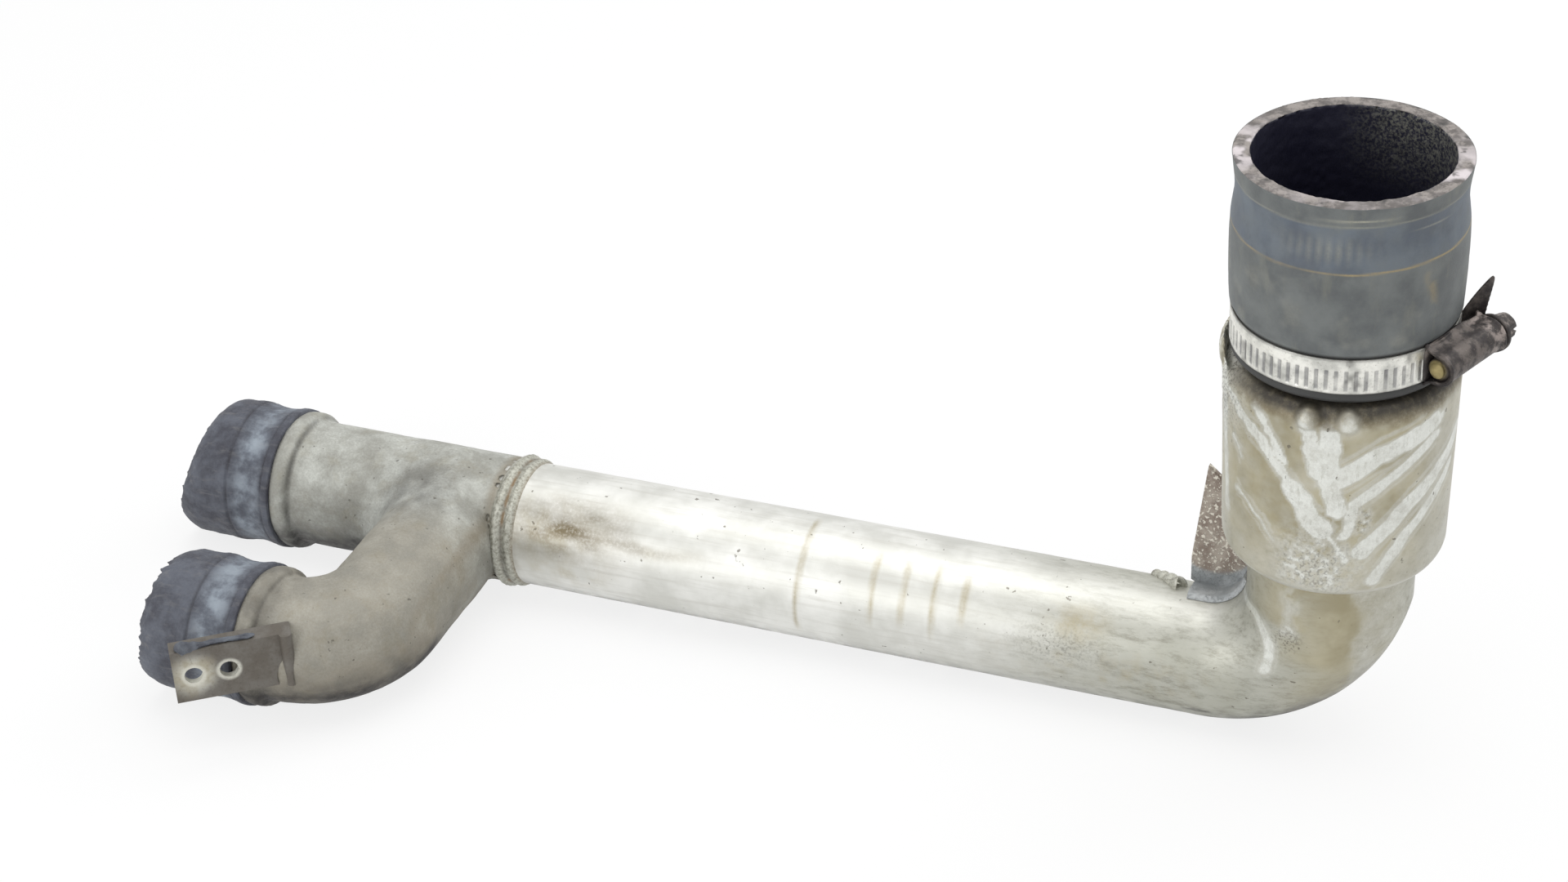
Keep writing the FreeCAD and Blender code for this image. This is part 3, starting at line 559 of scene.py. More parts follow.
def rusty_gusset_steel():
    """Rusty gusset: brown-purple with pale pitted speckles, and bare grey metal on its foot."""
    n = Nodes("rusty_gusset_steel")
    grain = n.noise(0.8, 4, 0.7)
    patch = n.noise(8, 4, 0.6)
    color = n.mix(n.step(patch, 0.35, 0.65), rgb(134, 120, 110), rgb(176, 166, 155))
    specks = n.step(n.noise(1.3, 4, 0.65), 0.52, 0.58)
    color = n.mix(specks, color, rgb(222, 216, 204))
    bare = n.mix(n.step(patch, 0.35, 0.65), rgb(156, 160, 162), rgb(192, 195, 196))
    color = n.mix(n.mask("foot"), color, bare)
    return n.finish(color, n.step(grain, 0.3, 0.7, 0.5, 0.7), 0.4, n.math("ADD", grain, specks), 0.15)


def dull_sleeve_aluminium():
    """The sleeve inside the can: dull aluminium with soot."""
    n = Nodes("dull_sleeve_aluminium")
    soot = n.noise(10, 5, 0.6)
    color = n.mix(n.step(soot, 0.3, 0.6), rgb(58, 57, 56), rgb(128, 127, 122))
    return n.finish(color, n.step(soot, 0.3, 0.7, 0.45, 0.65), 0.7, soot, 0.2)


# Tube, elbow and neck

def tube_path(straight_rows, bend_rows, neck_rows):
    """Centre, inward direction and radius of each ring: straight tube, swelling quarter bend, neck."""
    turn = np.concatenate([np.zeros(straight_rows), np.linspace(0, math.pi / 2, bend_rows),
                           np.full(neck_rows, math.pi / 2)])
    size = PIPE_R + (END_R - PIPE_R) * (turn / (math.pi / 2)) ** 2
    reach = ELBOW_INNER + size
    x = reach * np.sin(turn) - PIVOT_X
    z = PIVOT_Z - reach * np.cos(turn)
    x[:straight_rows] = np.linspace(PIPE_START, -PIVOT_X, straight_rows, endpoint=False)
    z[-neck_rows:] = np.linspace(PIVOT_Z, NECK_TOP, neck_rows + 1)[1:]
    inward = np.stack([-np.sin(turn), 0 * turn, np.cos(turn)], -1)
    return np.stack([x, 0 * x, z], -1), inward, size


def tube_rings(rows, columns, inset):
    """Rings of the tube: centre plus radius times cosine towards -Y and sine towards the bend's inside."""
    centre, inward, size = tube_path(*rows)
    turn = full_turn(columns)
    front = np.array([0.0, -1.0, 0.0])
    ring = np.cos(turn)[None, :, None] * front + np.sin(turn)[None, :, None] * inward[:, None]
    return centre[:, None], ring, (size - inset)[:, None, None], np.degrees(turn)


def make_tube(finish):
    """Drawn tube with its elbow: an outer and an inner sheet of rings, slightly uneven, stained as it lay,
    with painted shade under the elbow, in its bend and inside.
    """
    columns = 144
    centre, ring, size, turn = tube_rings((205, 60, 12), columns, 0)
    grid = centre + ring * size
    free = smooth(PIPE_START + 8, PIPE_START + 20, grid[..., 0]) * (1 - smooth(45, 54, grid[..., 2]))
    dents = 0.16 * rough(grid, 26, 3) + 0.03 * rough(grid, 3, 9)
    outside = grid + ring * (dents * free)[..., None]
    centre, inner_ring, size, _ = tube_rings((24, 20, 4), columns, PIPE_WALL)
    inside = (centre + inner_ring * size)[::-1]
    whole = np.concatenate([outside, inside])
    masks = tube_masks(outside, turn, len(inside), columns)
    return make_piece("tube_and_elbow", [tube_part(whole)], finish, ["main_pipe"], masks)


def tube_masks(outside, turn, inside_rows, columns):
    """Stains by place along the tube (x), round it (turn, 0 at the front, 90 on top) and up the neck (z), and
    painted shade under the elbow, in the bend's inside, on the lower side near the elbow and inside.
    """
    x, _, z = np.moveaxis(outside, -1, 0)
    turn = np.broadcast_to(turn, x.shape)
    wander = 6 * rough(outside, 14, 21)
    ragged = rough(outside, 4, 31)
    tan = np.zeros(x.shape)
    drips = ((-184.6, 100, -20, 1.6), (-157.1, 68, 5, 1.5), (-145.7, 66, 8, 1.5), (-134.7, 68, 0, 1.7),
             (-123.5, 62, 22, 2.2))
    for place, top, bottom, width in drips:
        here = bump(x + 0.16 * wander, place, width) * smooth(bottom - 12, bottom + 12, turn + 2 * wander)
        tan = np.maximum(tan, here * (1 - smooth(top - 10, top + 6, turn)) * (0.75 + 0.3 * ragged))
    tan = np.maximum(tan, 0.75 * bump(x, -82, 16) * bump(turn, 38, 26) * smooth(-0.5, 0.5, ragged + 0.2))
    tan = np.maximum(tan, 0.5 * bump(x, -72, 60) * bump(turn, 2, 34) * smooth(-0.2, 0.7, ragged))
    tan = np.maximum(tan, 0.45 * bump(x, -276, 30) * bump(turn, -8, 24) * smooth(-0.3, 0.6, ragged))
    tan = np.maximum(tan, 0.5 * bump(x, -284, 46) * bump(turn + wander, 28, 50) * smooth(-0.8, 0.5, ragged))
    drawn = smooth(-0.5, 0.5, rough(outside * [0.25, 1, 1], 3, 35))
    brown = (0.45 + 0.55 * drawn) * bump(x + wander, -279, 40) * bump(turn + wander, 36, 42)
    brown = np.maximum(brown, 0.55 * bump(x, -250, 45) * bump(turn + wander, 31, 9))
    brown = np.maximum(brown, 0.5 * bump(x, -299, 8) * smooth(-0.3, 0.5, ragged))
    bend = np.degrees(np.arctan2(x + PIVOT_X, PIVOT_Z - z))
    bend = np.where(z >= PIVOT_Z, 90, np.clip(bend, 0, 90))
    film = smooth(46, 74, bend + 2.2 * wander) * bump(turn + wander, -22, 62)
    patchy = 0.5 + 0.5 * smooth(-0.5, 0.4, rough(outside, 9, 37))
    film = np.maximum(film, patchy * smooth(80, 90, bend) * bump(turn + 2 * wander, 8, 70))
    corner_streak = stroke(turn + wander, bend, [(92, 70), (48, 81), (22, 66), (8, 50)], 11, 3.5)
    right_streak = stroke(turn + 2 * wander, bend + wander, [(-66, 88), (-36, 84), (-70, 60)], 12, 4)
    patch = bump(turn, 16, 12) * bump(bend, 86, 9) * smooth(-0.4, 0.3, ragged)
    pale = np.maximum.reduce([corner_streak * 0.9, right_streak * (0.4 + 0.3 * ragged) * (z > 5), patch])
    film = np.maximum(film, 0.7 * smooth(30, 60, bend + wander) * bump(turn, -40, 50))
    film = film * (1 - 0.9 * pale)
    # Painted shade under the elbow; a dirt mark low where the bend starts; painted shade in the bend's
    # inside.
    grime_and_shade = np.minimum(1.3 * bump(bend, 24, 60) * bump(turn, -66, 44), 1) * smooth(-0.8, 0.2, ragged)
    grime_and_shade = np.maximum(grime_and_shade, 0.8 * bump(x, -38, 14) * bump(turn, -30, 8) * smooth(0, 0.5, ragged))
    grime_and_shade = np.maximum(grime_and_shade, 0.35 * bump(bend, 36, 26) * bump(turn, 92, 24))
    pits = 0.3 * bump(x, -88, 26) * bump(turn, 16, 30)
    pits = np.maximum(pits, 0.7 * bump(bend, 78, 14) * bump(turn, 14, 16))
    # Greyer towards the elbow as tone; the lines below add painted shade on the lower side near the elbow and
    # leave the top lighter.
    dull = 0.9 * smooth(-150, -52, x + 2 * wander)
    dull = np.maximum(dull, 0.75 * smooth(-10, -50, turn) * smooth(-70, -40, x))
    dull = dull * (1 - 0.55 * bump(turn, 74, 40) * (1 - smooth(10, 45, bend)))
    stains = {"dull": dull, "tan": tan, "brown": brown, "film": film, "pale": pale, "pits": pits}
    inner = np.zeros((inside_rows, columns))
    masks = {name: np.concatenate([values, inner]) for name, values in stains.items()}
    # Painted shade inside the tube.
    masks["grime_and_shade"] = np.concatenate([grime_and_shade, inner + 0.6])
    return masks


# Cast branch

def joined(a, b, reach):
    """Two solids' distances joined with a fillet of about that reach."""
    share = np.clip(0.5 + 0.5 * (b - a) / reach, 0, 1)
    return b * (1 - share) + a * share - reach * share * (1 - share)


def rod_distance(x, radial, radius, start, end):
    """Distance to a cylinder from its radial distance and its place along."""
    return np.maximum(radial - radius, np.maximum(start - x, x - end))


def side_distance(x, y, z, radius, tail):
    """Distance to the side branch: straight out, round a quarter bend, and straight on for tail."""
    pivot_x, pivot_y = SIDE_X - SIDE_BEND, SIDE_Y + SIDE_BEND
    out = np.maximum(np.hypot(x - SIDE_X, z) - radius, np.maximum(y, pivot_y - y))
    ring = np.hypot(x - pivot_x, y - pivot_y)
    bend = np.maximum(np.hypot(ring - SIDE_BEND, z) - radius, np.maximum(pivot_x - x, y - pivot_y))
    straight = rod_distance(x, np.hypot(y - SIDE_Y, z), radius, SIDE_END - tail, pivot_x)
    return np.minimum(np.minimum(out, bend), straight)


def make_branch(finish):
    """The casting as a solid of distances: run and side branch joined with a fillet, beads and nipples added,
    a flat parting strip taken off the outer side, and the bores taken out; its skin is meshed as quads."""
    cell = 1.05
    low = np.array([-424.0, -124.0, -31.0])
    high = np.array([-296.0, 30.0, 31.0])
    x, y, z = np.meshgrid(*(np.arange(a, b, cell) for a, b in zip(low, high)), indexing="ij")
    run_radial = np.hypot(y, z)
    side_radial = np.hypot(y - SIDE_Y, z)
    run = rod_distance(x, run_radial, RUN_R, RUN_END - 0.5, RUN_START)
    side = side_distance(x, y, z, SIDE_R, 0.5)
    pivot_x, pivot_y = SIDE_X - SIDE_BEND, SIDE_Y + SIDE_BEND
    parting = np.where(y > pivot_y, x - SIDE_X, np.hypot(x - pivot_x, y - pivot_y) - SIDE_BEND)
    side = np.maximum(side, np.where(x > pivot_x, parting - SIDE_R + 0.5, -9))
    fillet = 13 * np.clip((RUN_START - 3 - x) / 16, 0.03, 1)
    solid = joined(run, side, fillet)
    for radial, radius, end in ((run_radial, RUN_R, RUN_END), (side_radial, SIDE_R, SIDE_END)):
        past_flat = np.maximum(np.abs(x - end + BEAD_WIDTH / 2) - 1.2, 0)
        bead = np.hypot(past_flat, np.maximum(radial - radius, 0)) - BEAD_HEIGHT
        nipple = rod_distance(x, radial, radius - NIPPLE_DROP, end - BEAD_WIDTH - NIPPLE_LENGTH, end)
        solid = joined(joined(solid, bead, 1.5), nipple, 1.0)
    past = BEAD_WIDTH + NIPPLE_LENGTH + 5
    bores = np.minimum(rod_distance(x, run_radial, RUN_BORE, RUN_END - past, RUN_START + 9),
                       side_distance(x, y, z, SIDE_BORE, past))
    bores = np.minimum(bores, rod_distance(x, run_radial, PIPE_R + 0.1, PIPE_START, RUN_START + 30))
    places = np.stack([x, y, z], -1)
    sand = 0.10 * lattice(places / 2.6, 5) + 0.16 * lattice(places / 11, 6)
    solid = np.maximum(solid + sand, -bores)
    grid = openvdb.FloatGrid(9.0)
    grid.copyFromArray(solid.astype(np.float32))
    points, quads = grid.convertToQuads(0.0)
    points = np.asarray(points, float) * cell + low
    quads = np.asarray(quads, int)
    masks = branch_masks(points)
    return make_piece("branch_body", [(points, [quads])], finish, ["branch_casting"], masks)


def branch_masks(points):
    """Painted shade beneath, in the crotch, behind the beads, beside the tab and in the bores, dirt over the
    crossing, and brown on the outer side, heavier low down as painted shade.
    """
    x, y, z = points.T
    ragged = rough(points, 9, 41)
    # Painted shade: darker towards the bottom.
    beneath = smooth(2, -13, z + 4 * rough(points, 8, 43))
    beneath = beneath * (1 - 0.6 * smooth(-335, -315, x) * smooth(-75, -45, y))
    beneath = np.maximum(beneath, smooth(-3, -11, z) * smooth(-55, -75, y))
    crotch = bump(x, -362, 26) * bump(y, -46, 30)
    crossing = bump(x, -334, 26) * bump(y, -23, 22) * smooth(-6, 6, z)
    behind_bead = np.where(y > -50, bump(x, RUN_END + 0.9, 1.3), bump(x, SIDE_END + 0.9, 1.3))
    by_tab = bump(x, -354, 15) * (y < -66)
    # Painted shade beneath, in the crotch, behind the beads and beside the tab; dirt over the crossing.
    grime_and_shade = np.maximum.reduce([
        beneath * (0.95 + 0.25 * ragged),
        0.75 * crotch * smooth(-0.5, 0.3, ragged),
        0.6 * crossing * smooth(-0.8, 0.3, ragged),
        0.6 * behind_bead * smooth(-0.8, 0.2, ragged),
        0.5 * by_tab * smooth(-0.6, 0.4, ragged),
    ])
    # Painted shade in the bores.
    inside = np.hypot(y, z) < RUN_BORE + 0.6
    # Brown: stains, and heavier towards the bottom of the side branch as painted shade.
    brown = np.maximum.reduce([
        0.4 * bump(x, -326, 22) * bump(y, -46, 26) * smooth(-0.3, 0.6, ragged),
        0.7 * smooth(-88, -112, y) * smooth(12, -14, z),
        0.6 * smooth(-30, -80, y) * smooth(24, -2, z),
        0.45 * smooth(-24, -50, y),
        0.6 * bump(x, -306, 4),
    ])
    return {"grime_and_shade": np.where(inside, 0.7, grime_and_shade), "brown": brown}


def make_branch_weld(finish):
    """Weld ring on the tube's end: a rounded collar and a narrower bead, rippled round the joint."""
    rows, columns = 34, 300
    start, length = -305.6, 10.6
    share = np.linspace(0, 1, rows)
    turn = full_turn(columns)
    x = start + length * share
    circle = np.stack([0 * turn, np.cos(turn), np.sin(turn)], -1)
    spread = np.stack(np.broadcast_arrays(x[:, None], 24 * circle[:, 1], 24 * circle[:, 2]), -1)
    rise = 2.15 * bump(share, 0.30, 0.34) + 1.25 * bump(share, 0.74, 0.26)
    ripple = 1 + 0.12 * rough(spread, 4.5, 51) + 0.04 * np.sin(turn * 46 + 6 * share[:, None])
    radius = PIPE_R - 0.3 + 0.35 * rounded_ends(share, 12, 0)[:, None] + rise[:, None] * ripple
    outside = radius[..., None] * circle
    outside[..., 0] = x[:, None]
    seat = np.repeat([(PIPE_R - 0.5) * circle], 2, axis=0)
    seat[..., 0] = [[x[-1]], [x[0]]]
    gap = np.maximum(bump(share, 0.53, 0.09), bump(share, 0.0, 0.1))[:, None]
    ragged = smooth(-0.5, 0.5, rough(spread, 5, 53))
    brown = gap * ragged + 0.35 * bump(share, 0.95, 0.12)[:, None]
    clean = np.zeros((2, columns))
    grime_and_shade = 0.55 * gap * (1 - ragged)
    masks = {"brown": np.concatenate([brown, clean]), "grime_and_shade": np.concatenate([grime_and_shade, clean])}
    grid = np.concatenate([outside, seat])
    return make_piece("branch_weld_ring", [tube_part(grid)], finish, ["branch_weld"], masks)


# Resonator can

CAN_STREAKS = (
    # path of (degrees round the can, height), width in mm, strength
    ([(-152, 123), (-118, 112.3), (-99.5, 98.2)], 4.6, 1.0),
    ([(-99.4, 97.6), (-91.9, 89), (-84, 84)], 8.5, 1.0),
    ([(-90, 90), (-79.7, 81.7), (-71.6, 72.6)], 3.0, 0.8),
    ([(-121.2, 123.6), (-103.7, 107.1)], 3.0, 0.9),
    ([(-94, 122.3), (-90.2, 114.6), (-87.8, 104.6)], 4.6, 1.0),
    ([(-82.3, 121), (-82.5, 110.2), (-80.9, 100), (-77.1, 91.7)], 7.5, 0.95),
    ([(-24, 119), (-58.8, 111.5), (-81.1, 101.6)], 7.2, 1.0),
    ([(-25, 113), (-51.8, 102.6), (-69, 93.7), (-73.1, 81.9)], 4.0, 0.95),
    ([(0, 106), (-41.1, 90.1), (-64.3, 75)], 6.4, 0.85),
    ([(-8, 96), (-39.9, 79.2), (-56.5, 64.3)], 5.0, 0.75),
    ([(-134.9, 87.5), (-120.7, 82), (-108.4, 75.6)], 2.6, 0.7),
    ([(-153, 122), (-147, 76)], 5.0, 0.7),
    ([(-138.4, 106.6), (-132, 100.5)], 1.8, 0.8),
    ([(-174, 112), (-164, 88)], 5.0, 0.45),
    ([(12, 117), (32, 93)], 5.0, 0.5),
    ([(46, 121), (62, 98), (70, 84)], 4.0, 0.45),
    ([(78, 104), (90, 76)], 6.0, 0.4),
    ([(104, 118), (124, 92)], 4.0, 0.45),
    ([(142, 108), (150, 80)], 5.0, 0.4),
)


def make_can(finish):
    """Spun can: base round, widening wall, shoulder round and spigot turned about Z, with two lugs."""
    lean = (CAN_TOP_R - CAN_BASE_R) / (CAN_TOP - CAN_BASE)
    tilt = math.degrees(math.atan(lean))
    low_z, high_z = CAN_BASE + BASE_ROUND, CAN_TOP - TOP_ROUND
    low_r = CAN_BASE_R + BASE_ROUND * lean - BASE_ROUND * math.hypot(1, lean)
    high_r = CAN_BASE_R + (high_z - CAN_BASE) * lean - TOP_ROUND * math.hypot(1, lean)
    neck = END_R + 0.1
    bore = SPIGOT_R - CAN_WALL
    wall_rows = 96
    base = arc((low_r, low_z), BASE_ROUND, -90, -tilt, 20)
    shoulder = arc((high_r, high_z), TOP_ROUND, -tilt, 90, 20)
    profile = np.concatenate([
        along((neck, CAN_BASE), base[0], 2),
        base,
        along(base[-1] + [0.02, 0.4], shoulder[0], wall_rows),
        shoulder,
        along((SPIGOT_R, CAN_TOP), (SPIGOT_R, SPIGOT_TOP), 6),
        along((bore, SPIGOT_TOP), (bore, CAN_TOP - CAN_WALL), 6),
        along((bore + 2, CAN_TOP - CAN_WALL), (CAN_TOP_R - 4, CAN_TOP - 5), 3),
        along((CAN_TOP_R - CAN_WALL, CAN_TOP - 8), (CAN_BASE_R - CAN_WALL, CAN_BASE + 9), 6),
        along((CAN_BASE_R - 5, CAN_BASE + 4), (neck, CAN_BASE + CAN_WALL), 3),
        [(neck, CAN_BASE + CAN_WALL)],
    ])
    columns = 380
    plain = turned(profile, columns)
    visible = np.arange(len(profile)) < 2 + len(base) + wall_rows + len(shoulder)
    angle = angle_of(plain)
    z = plain[..., 2]
    corroded = bump(round_from(angle, CORRODED_ANGLE), 0, 48) * smooth(96, 122, z)
    swell = 0.10 * rough(plain, 18, 63) + 0.55 * corroded * rough(plain, 3.2, 65)
    for lug in LUG_ANGLES:
        place = np.array([math.cos(math.radians(lug)), math.sin(math.radians(lug))]) * (CAN_TOP_R - 1.5)
        apart = np.sqrt(((plain[..., :2] - place) ** 2).sum(-1) + (z - LUG_Z) ** 2)
        swell = swell + 2.6 * (1 - smooth(1.6, 5.2, apart))
    outward = np.gradient(profile, axis=0)
    outward = np.stack([outward[:, 1], -outward[:, 0]], -1)
    outward /= np.linalg.norm(outward, axis=1, keepdims=True)
    swell = swell * visible[:, None] * smooth(CAN_BASE, CAN_BASE + 3, z)
    grid = turned(profile, columns, swell * outward[:, :1])
    grid[..., 2] += swell * outward[:, 1:]
    masks = can_masks(plain, angle, z, visible)
    return make_piece("resonator_shell", [tube_part(grid)], finish, ["resonator_can"], masks)


def can_masks(plain, angle, z, visible):
    """Pale wiped streaks over a tan film, a dark stained shoulder, a crackled patch low on the front, and
    painted shade on the inner surfaces.
    """
    ragged = rough(plain, 4, 61)
    jitter = 1.5 * rough(plain, 6, 71) + 0.5 * rough(plain, 1.6, 72)
    width_noise = 1.6 * rough(plain, 7, 73)
    across = np.radians(angle) * CAN_TOP_R + jitter
    pale = np.zeros(z.shape)
    for path, width, strength in CAN_STREAKS:
        flat = [(math.radians(turn) * CAN_TOP_R, height) for turn, height in path]
        # the streak itself, then a thin line along each side of it
        lines = ((0, width + width_noise, 1), (0.7 * width + 1.3, 1.0, 0.5), (-0.7 * width - 1.2, 0.8, 0.4))
        for shift, wide, share in lines:
            here = stroke(across, z + 0.7 * jitter - shift, flat, wide, 0.7)
            pale = np.maximum(pale, share * min(1.2 * strength, 1) * here * (0.9 + 0.2 * ragged))
    pale = np.maximum(pale, 0.5 * bump(z, CAN_BASE + 3, 2.2))
    shoulder = smooth(121.0, 124.2, z + 1.8 * ragged)
    lug = np.zeros(z.shape)
    for place in LUG_ANGLES:
        lug = np.maximum(lug, bump(angle + 3 * ragged, place, 9.5) * bump(z + ragged, LUG_Z - 1, 6.5))
    corroded = bump(round_from(angle, CORRODED_ANGLE), 0, 50) * smooth(96, 120, z)
    crackle = bump(angle + 9 * ragged, -87, 33) * bump(z + 5 * ragged, 69, 20)
    crackle = np.maximum(crackle, bump(angle, -64.4, 8) * bump(z, 87.6, 9))
    flecks = smooth(0.0, 0.7, crackle) * smooth(-0.5, 0.4, rough(plain, 1.5, 74))
    pale = np.maximum(pale, 0.8 * flecks)
    film = (1 - 0.55 * smooth(40, 75, np.abs(round_from(angle, -90)))) * (0.85 + 0.3 * ragged)
    film = film * (0.55 + 0.45 * smooth(60, 84, z))
    grime_and_shade = 0.95 * smooth(123, 127, z + ragged) * (1 - 0.8 * corroded) * (1 - 0.9 * lug)
    grime_and_shade = grime_and_shade + 0.3 * corroded * smooth(0, 0.4, ragged)
    return {
        "film": film * (1 - pale),
        "pale": np.maximum.reduce([pale * (1 - 0.85 * shoulder), 0.9 * lug, 0.85 * corroded]),
        "brown": 0.75 * shoulder * (1 - lug) * (1 - corroded),
        # Painted shade on the can's inner surfaces.
        "grime_and_shade": np.where(visible[:, None], grime_and_shade, 0.6),
        "pits": np.maximum(0.4 * crackle, 0.8 * corroded),
        "tan": np.zeros(z.shape),
        "dull": np.full(z.shape, 0.5),
    }


def make_crust(finish):
    """Corrosion heaped on the can's shoulder, away from the clamp: a lumpy flat rod along part of the rim."""
    rows, columns = 240, 48
    half_width, half_height = 1.5, 5.6
    share = np.linspace(0, 1, rows)
    turn = full_turn(columns)
    angle = np.radians(128 + 82 * share)
    out = np.stack([np.cos(angle), np.sin(angle), 0 * angle], -1)
    centre = 37.9 * out + np.array([0, 0, 127.0])
    section = half_width * np.cos(turn)[:, None] * out[:, None]
    section = section + half_height * np.sin(turn)[:, None] * np.array([0, 0, 1.0])
    plain = centre[:, None] + section
    lumps = 0.86 + 0.28 * rough(plain, 5, 161) + 0.12 * rough(plain, 1.8, 163)
    lumps = lumps * rounded_ends(share, 3.2, 0.003)[:, None]
    grid = centre[:, None] + section * lumps[..., None]
    ragged = np.append(rough(grid, 3, 165).ravel(), [0, 0])
    none = np.zeros(ragged.shape)
    masks = {
        "pale": smooth(-0.5, 0.2, ragged),
        "film": none + 0.8,
        "pits": 0.6 * smooth(0, 0.5, ragged),
        "dull": none + 0.8,
        "tan": none,
        "brown": none,
        "grime_and_shade": 0.45 * smooth(0.15, 0.6, -ragged),
    }
    return make_piece("shoulder_crust", [capped_part(grid)], finish, (), masks)


def make_can_seam(finish):
    """Fine weld seam where the neck enters the can: a thin ring of wandering thickness."""
    columns = 320
    turn = full_turn(columns)
    round_bead = full_turn(12)
    circle = np.stack([np.cos(turn), np.sin(turn), 0 * turn], -1)
    size = 0.72 + 0.22 * rough(circle * END_R, 2.2, 81)
    radius = END_R + 0.15 + size * np.cos(round_bead)[:, None]
    grid = radius[..., None] * circle
    grid[..., 2] = CAN_BASE - 0.15 + size * np.sin(round_bead)[:, None]
    dark = smooth(-0.1, 0.5, rough(grid, 6, 83))
    masks = {"grime_and_shade": 0.7 * dark, "brown": 0.5 * (1 - dark)}
    return make_piece("can_seam", [tube_part(grid)], finish, ["can_weld"], masks)


# Rubber hose on top

def make_hose(finish):
    """Moulded hose turned about Z: lip, grip under the clamp, bulge, faint clamp print, worn rim and bore."""
    lip = along((HOSE_GRIP_R - 0.6, HOSE_BASE), (HOSE_GRIP_R + 0.35, HOSE_BASE + 1.2), 4)
    low = along((HOSE_GRIP_R + 0.4, HOSE_BASE + 1.3), (HOSE_GRIP_R + 0.3, BAND_LOW - 0.5), 5)
    grip = along((HOSE_GRIP_R - 0.05, BAND_LOW), (HOSE_GRIP_R - 0.05, BAND_HIGH), 6)
    swell_up = along((HOSE_GRIP_R + 0.1, BAND_HIGH + 0.1), (HOSE_GRIP_R + 1.15, BAND_HIGH + 2.4), 8)
    height = np.linspace(BAND_HIGH + 2.4, HOSE_TOP - 1.0, 92)
    share = (height - height[0]) / (HOSE_TOP - height[0])
    bulge = 0.55 * np.sin(np.pi * np.clip(share / 0.72, 0, 1)) + 0.35 * smooth(0.72, 1.0, share)
    wall = np.stack([HOSE_GRIP_R + 1.15 + bulge - 0.75 * bump(height, 189, 12), height], -1)
    edge = arc((HOSE_GRIP_R + 0.75, HOSE_TOP - 0.8), 0.8, 0, 90, 5)
    rim = along((HOSE_GRIP_R + 0.7, HOSE_TOP), (HOSE_BORE_R + 0.5, HOSE_TOP), 12)
    lip_in = arc((HOSE_BORE_R + 0.5, HOSE_TOP - 0.5), 0.5, 90, 180, 4)
    bore = along((HOSE_BORE_R, HOSE_TOP - 0.6), (HOSE_BORE_R, SPIGOT_TOP + 6), 44)
    seat = along((HOSE_BORE_R, SPIGOT_TOP + 6), (HOSE_SEAT_R, SPIGOT_TOP), 5)
    tail = along((HOSE_SEAT_R, SPIGOT_TOP), (HOSE_SEAT_R, HOSE_BASE), 6)
    profile = np.concatenate([lip, low, grip, swell_up, wall, edge, rim, lip_in, bore, seat, tail])
    columns = 300
    plain = turned(profile, columns)
    angle = angle_of(plain)
    z = plain[..., 2]
    row = np.arange(len(profile))
    rim_start = len(lip) + len(low) + len(grip) + len(swell_up) + len(wall) + 2
    rim_end = rim_start + 3 + len(rim) + len(lip_in)
    on_outer = np.broadcast_to((row < rim_start)[:, None], z.shape)
    on_rim = np.broadcast_to(((row >= rim_start) & (row < rim_end))[:, None], z.shape)
    on_bore = np.broadcast_to((row >= rim_end)[:, None], z.shape)
    free = smooth(BAND_HIGH, BAND_HIGH + 6, z)
    teeth = bump(angle, -88, 34) * bump(z, 184.5, 6.5) * (0.5 + 0.5 * np.cos(np.radians(angle) * 74))
    uneven = free * (0.28 * rough(plain, 30, 91) + 0.05 * rough(plain, 3, 92)) - 0.16 * teeth
    crumbly = 0.30 * rough(plain, 1.9, 93) * smooth(SPIGOT_TOP + 4, SPIGOT_TOP + 12, z)
    grid = turned(profile, columns, np.where(on_outer, uneven, 0) + np.where(on_bore, crumbly, 0))
    chips = rough(plain, 3.4, 95)
    grid[..., 2] += np.where(on_rim, 0.35 * chips + 0.25 * rough(plain, 1.3, 96) - 0.35, 0)
    masks = hose_masks(plain, angle, z, on_outer, on_rim, on_bore, teeth)
    return make_piece("rubber_hose", [tube_part(grid)], finish, ["top_hose"], masks)


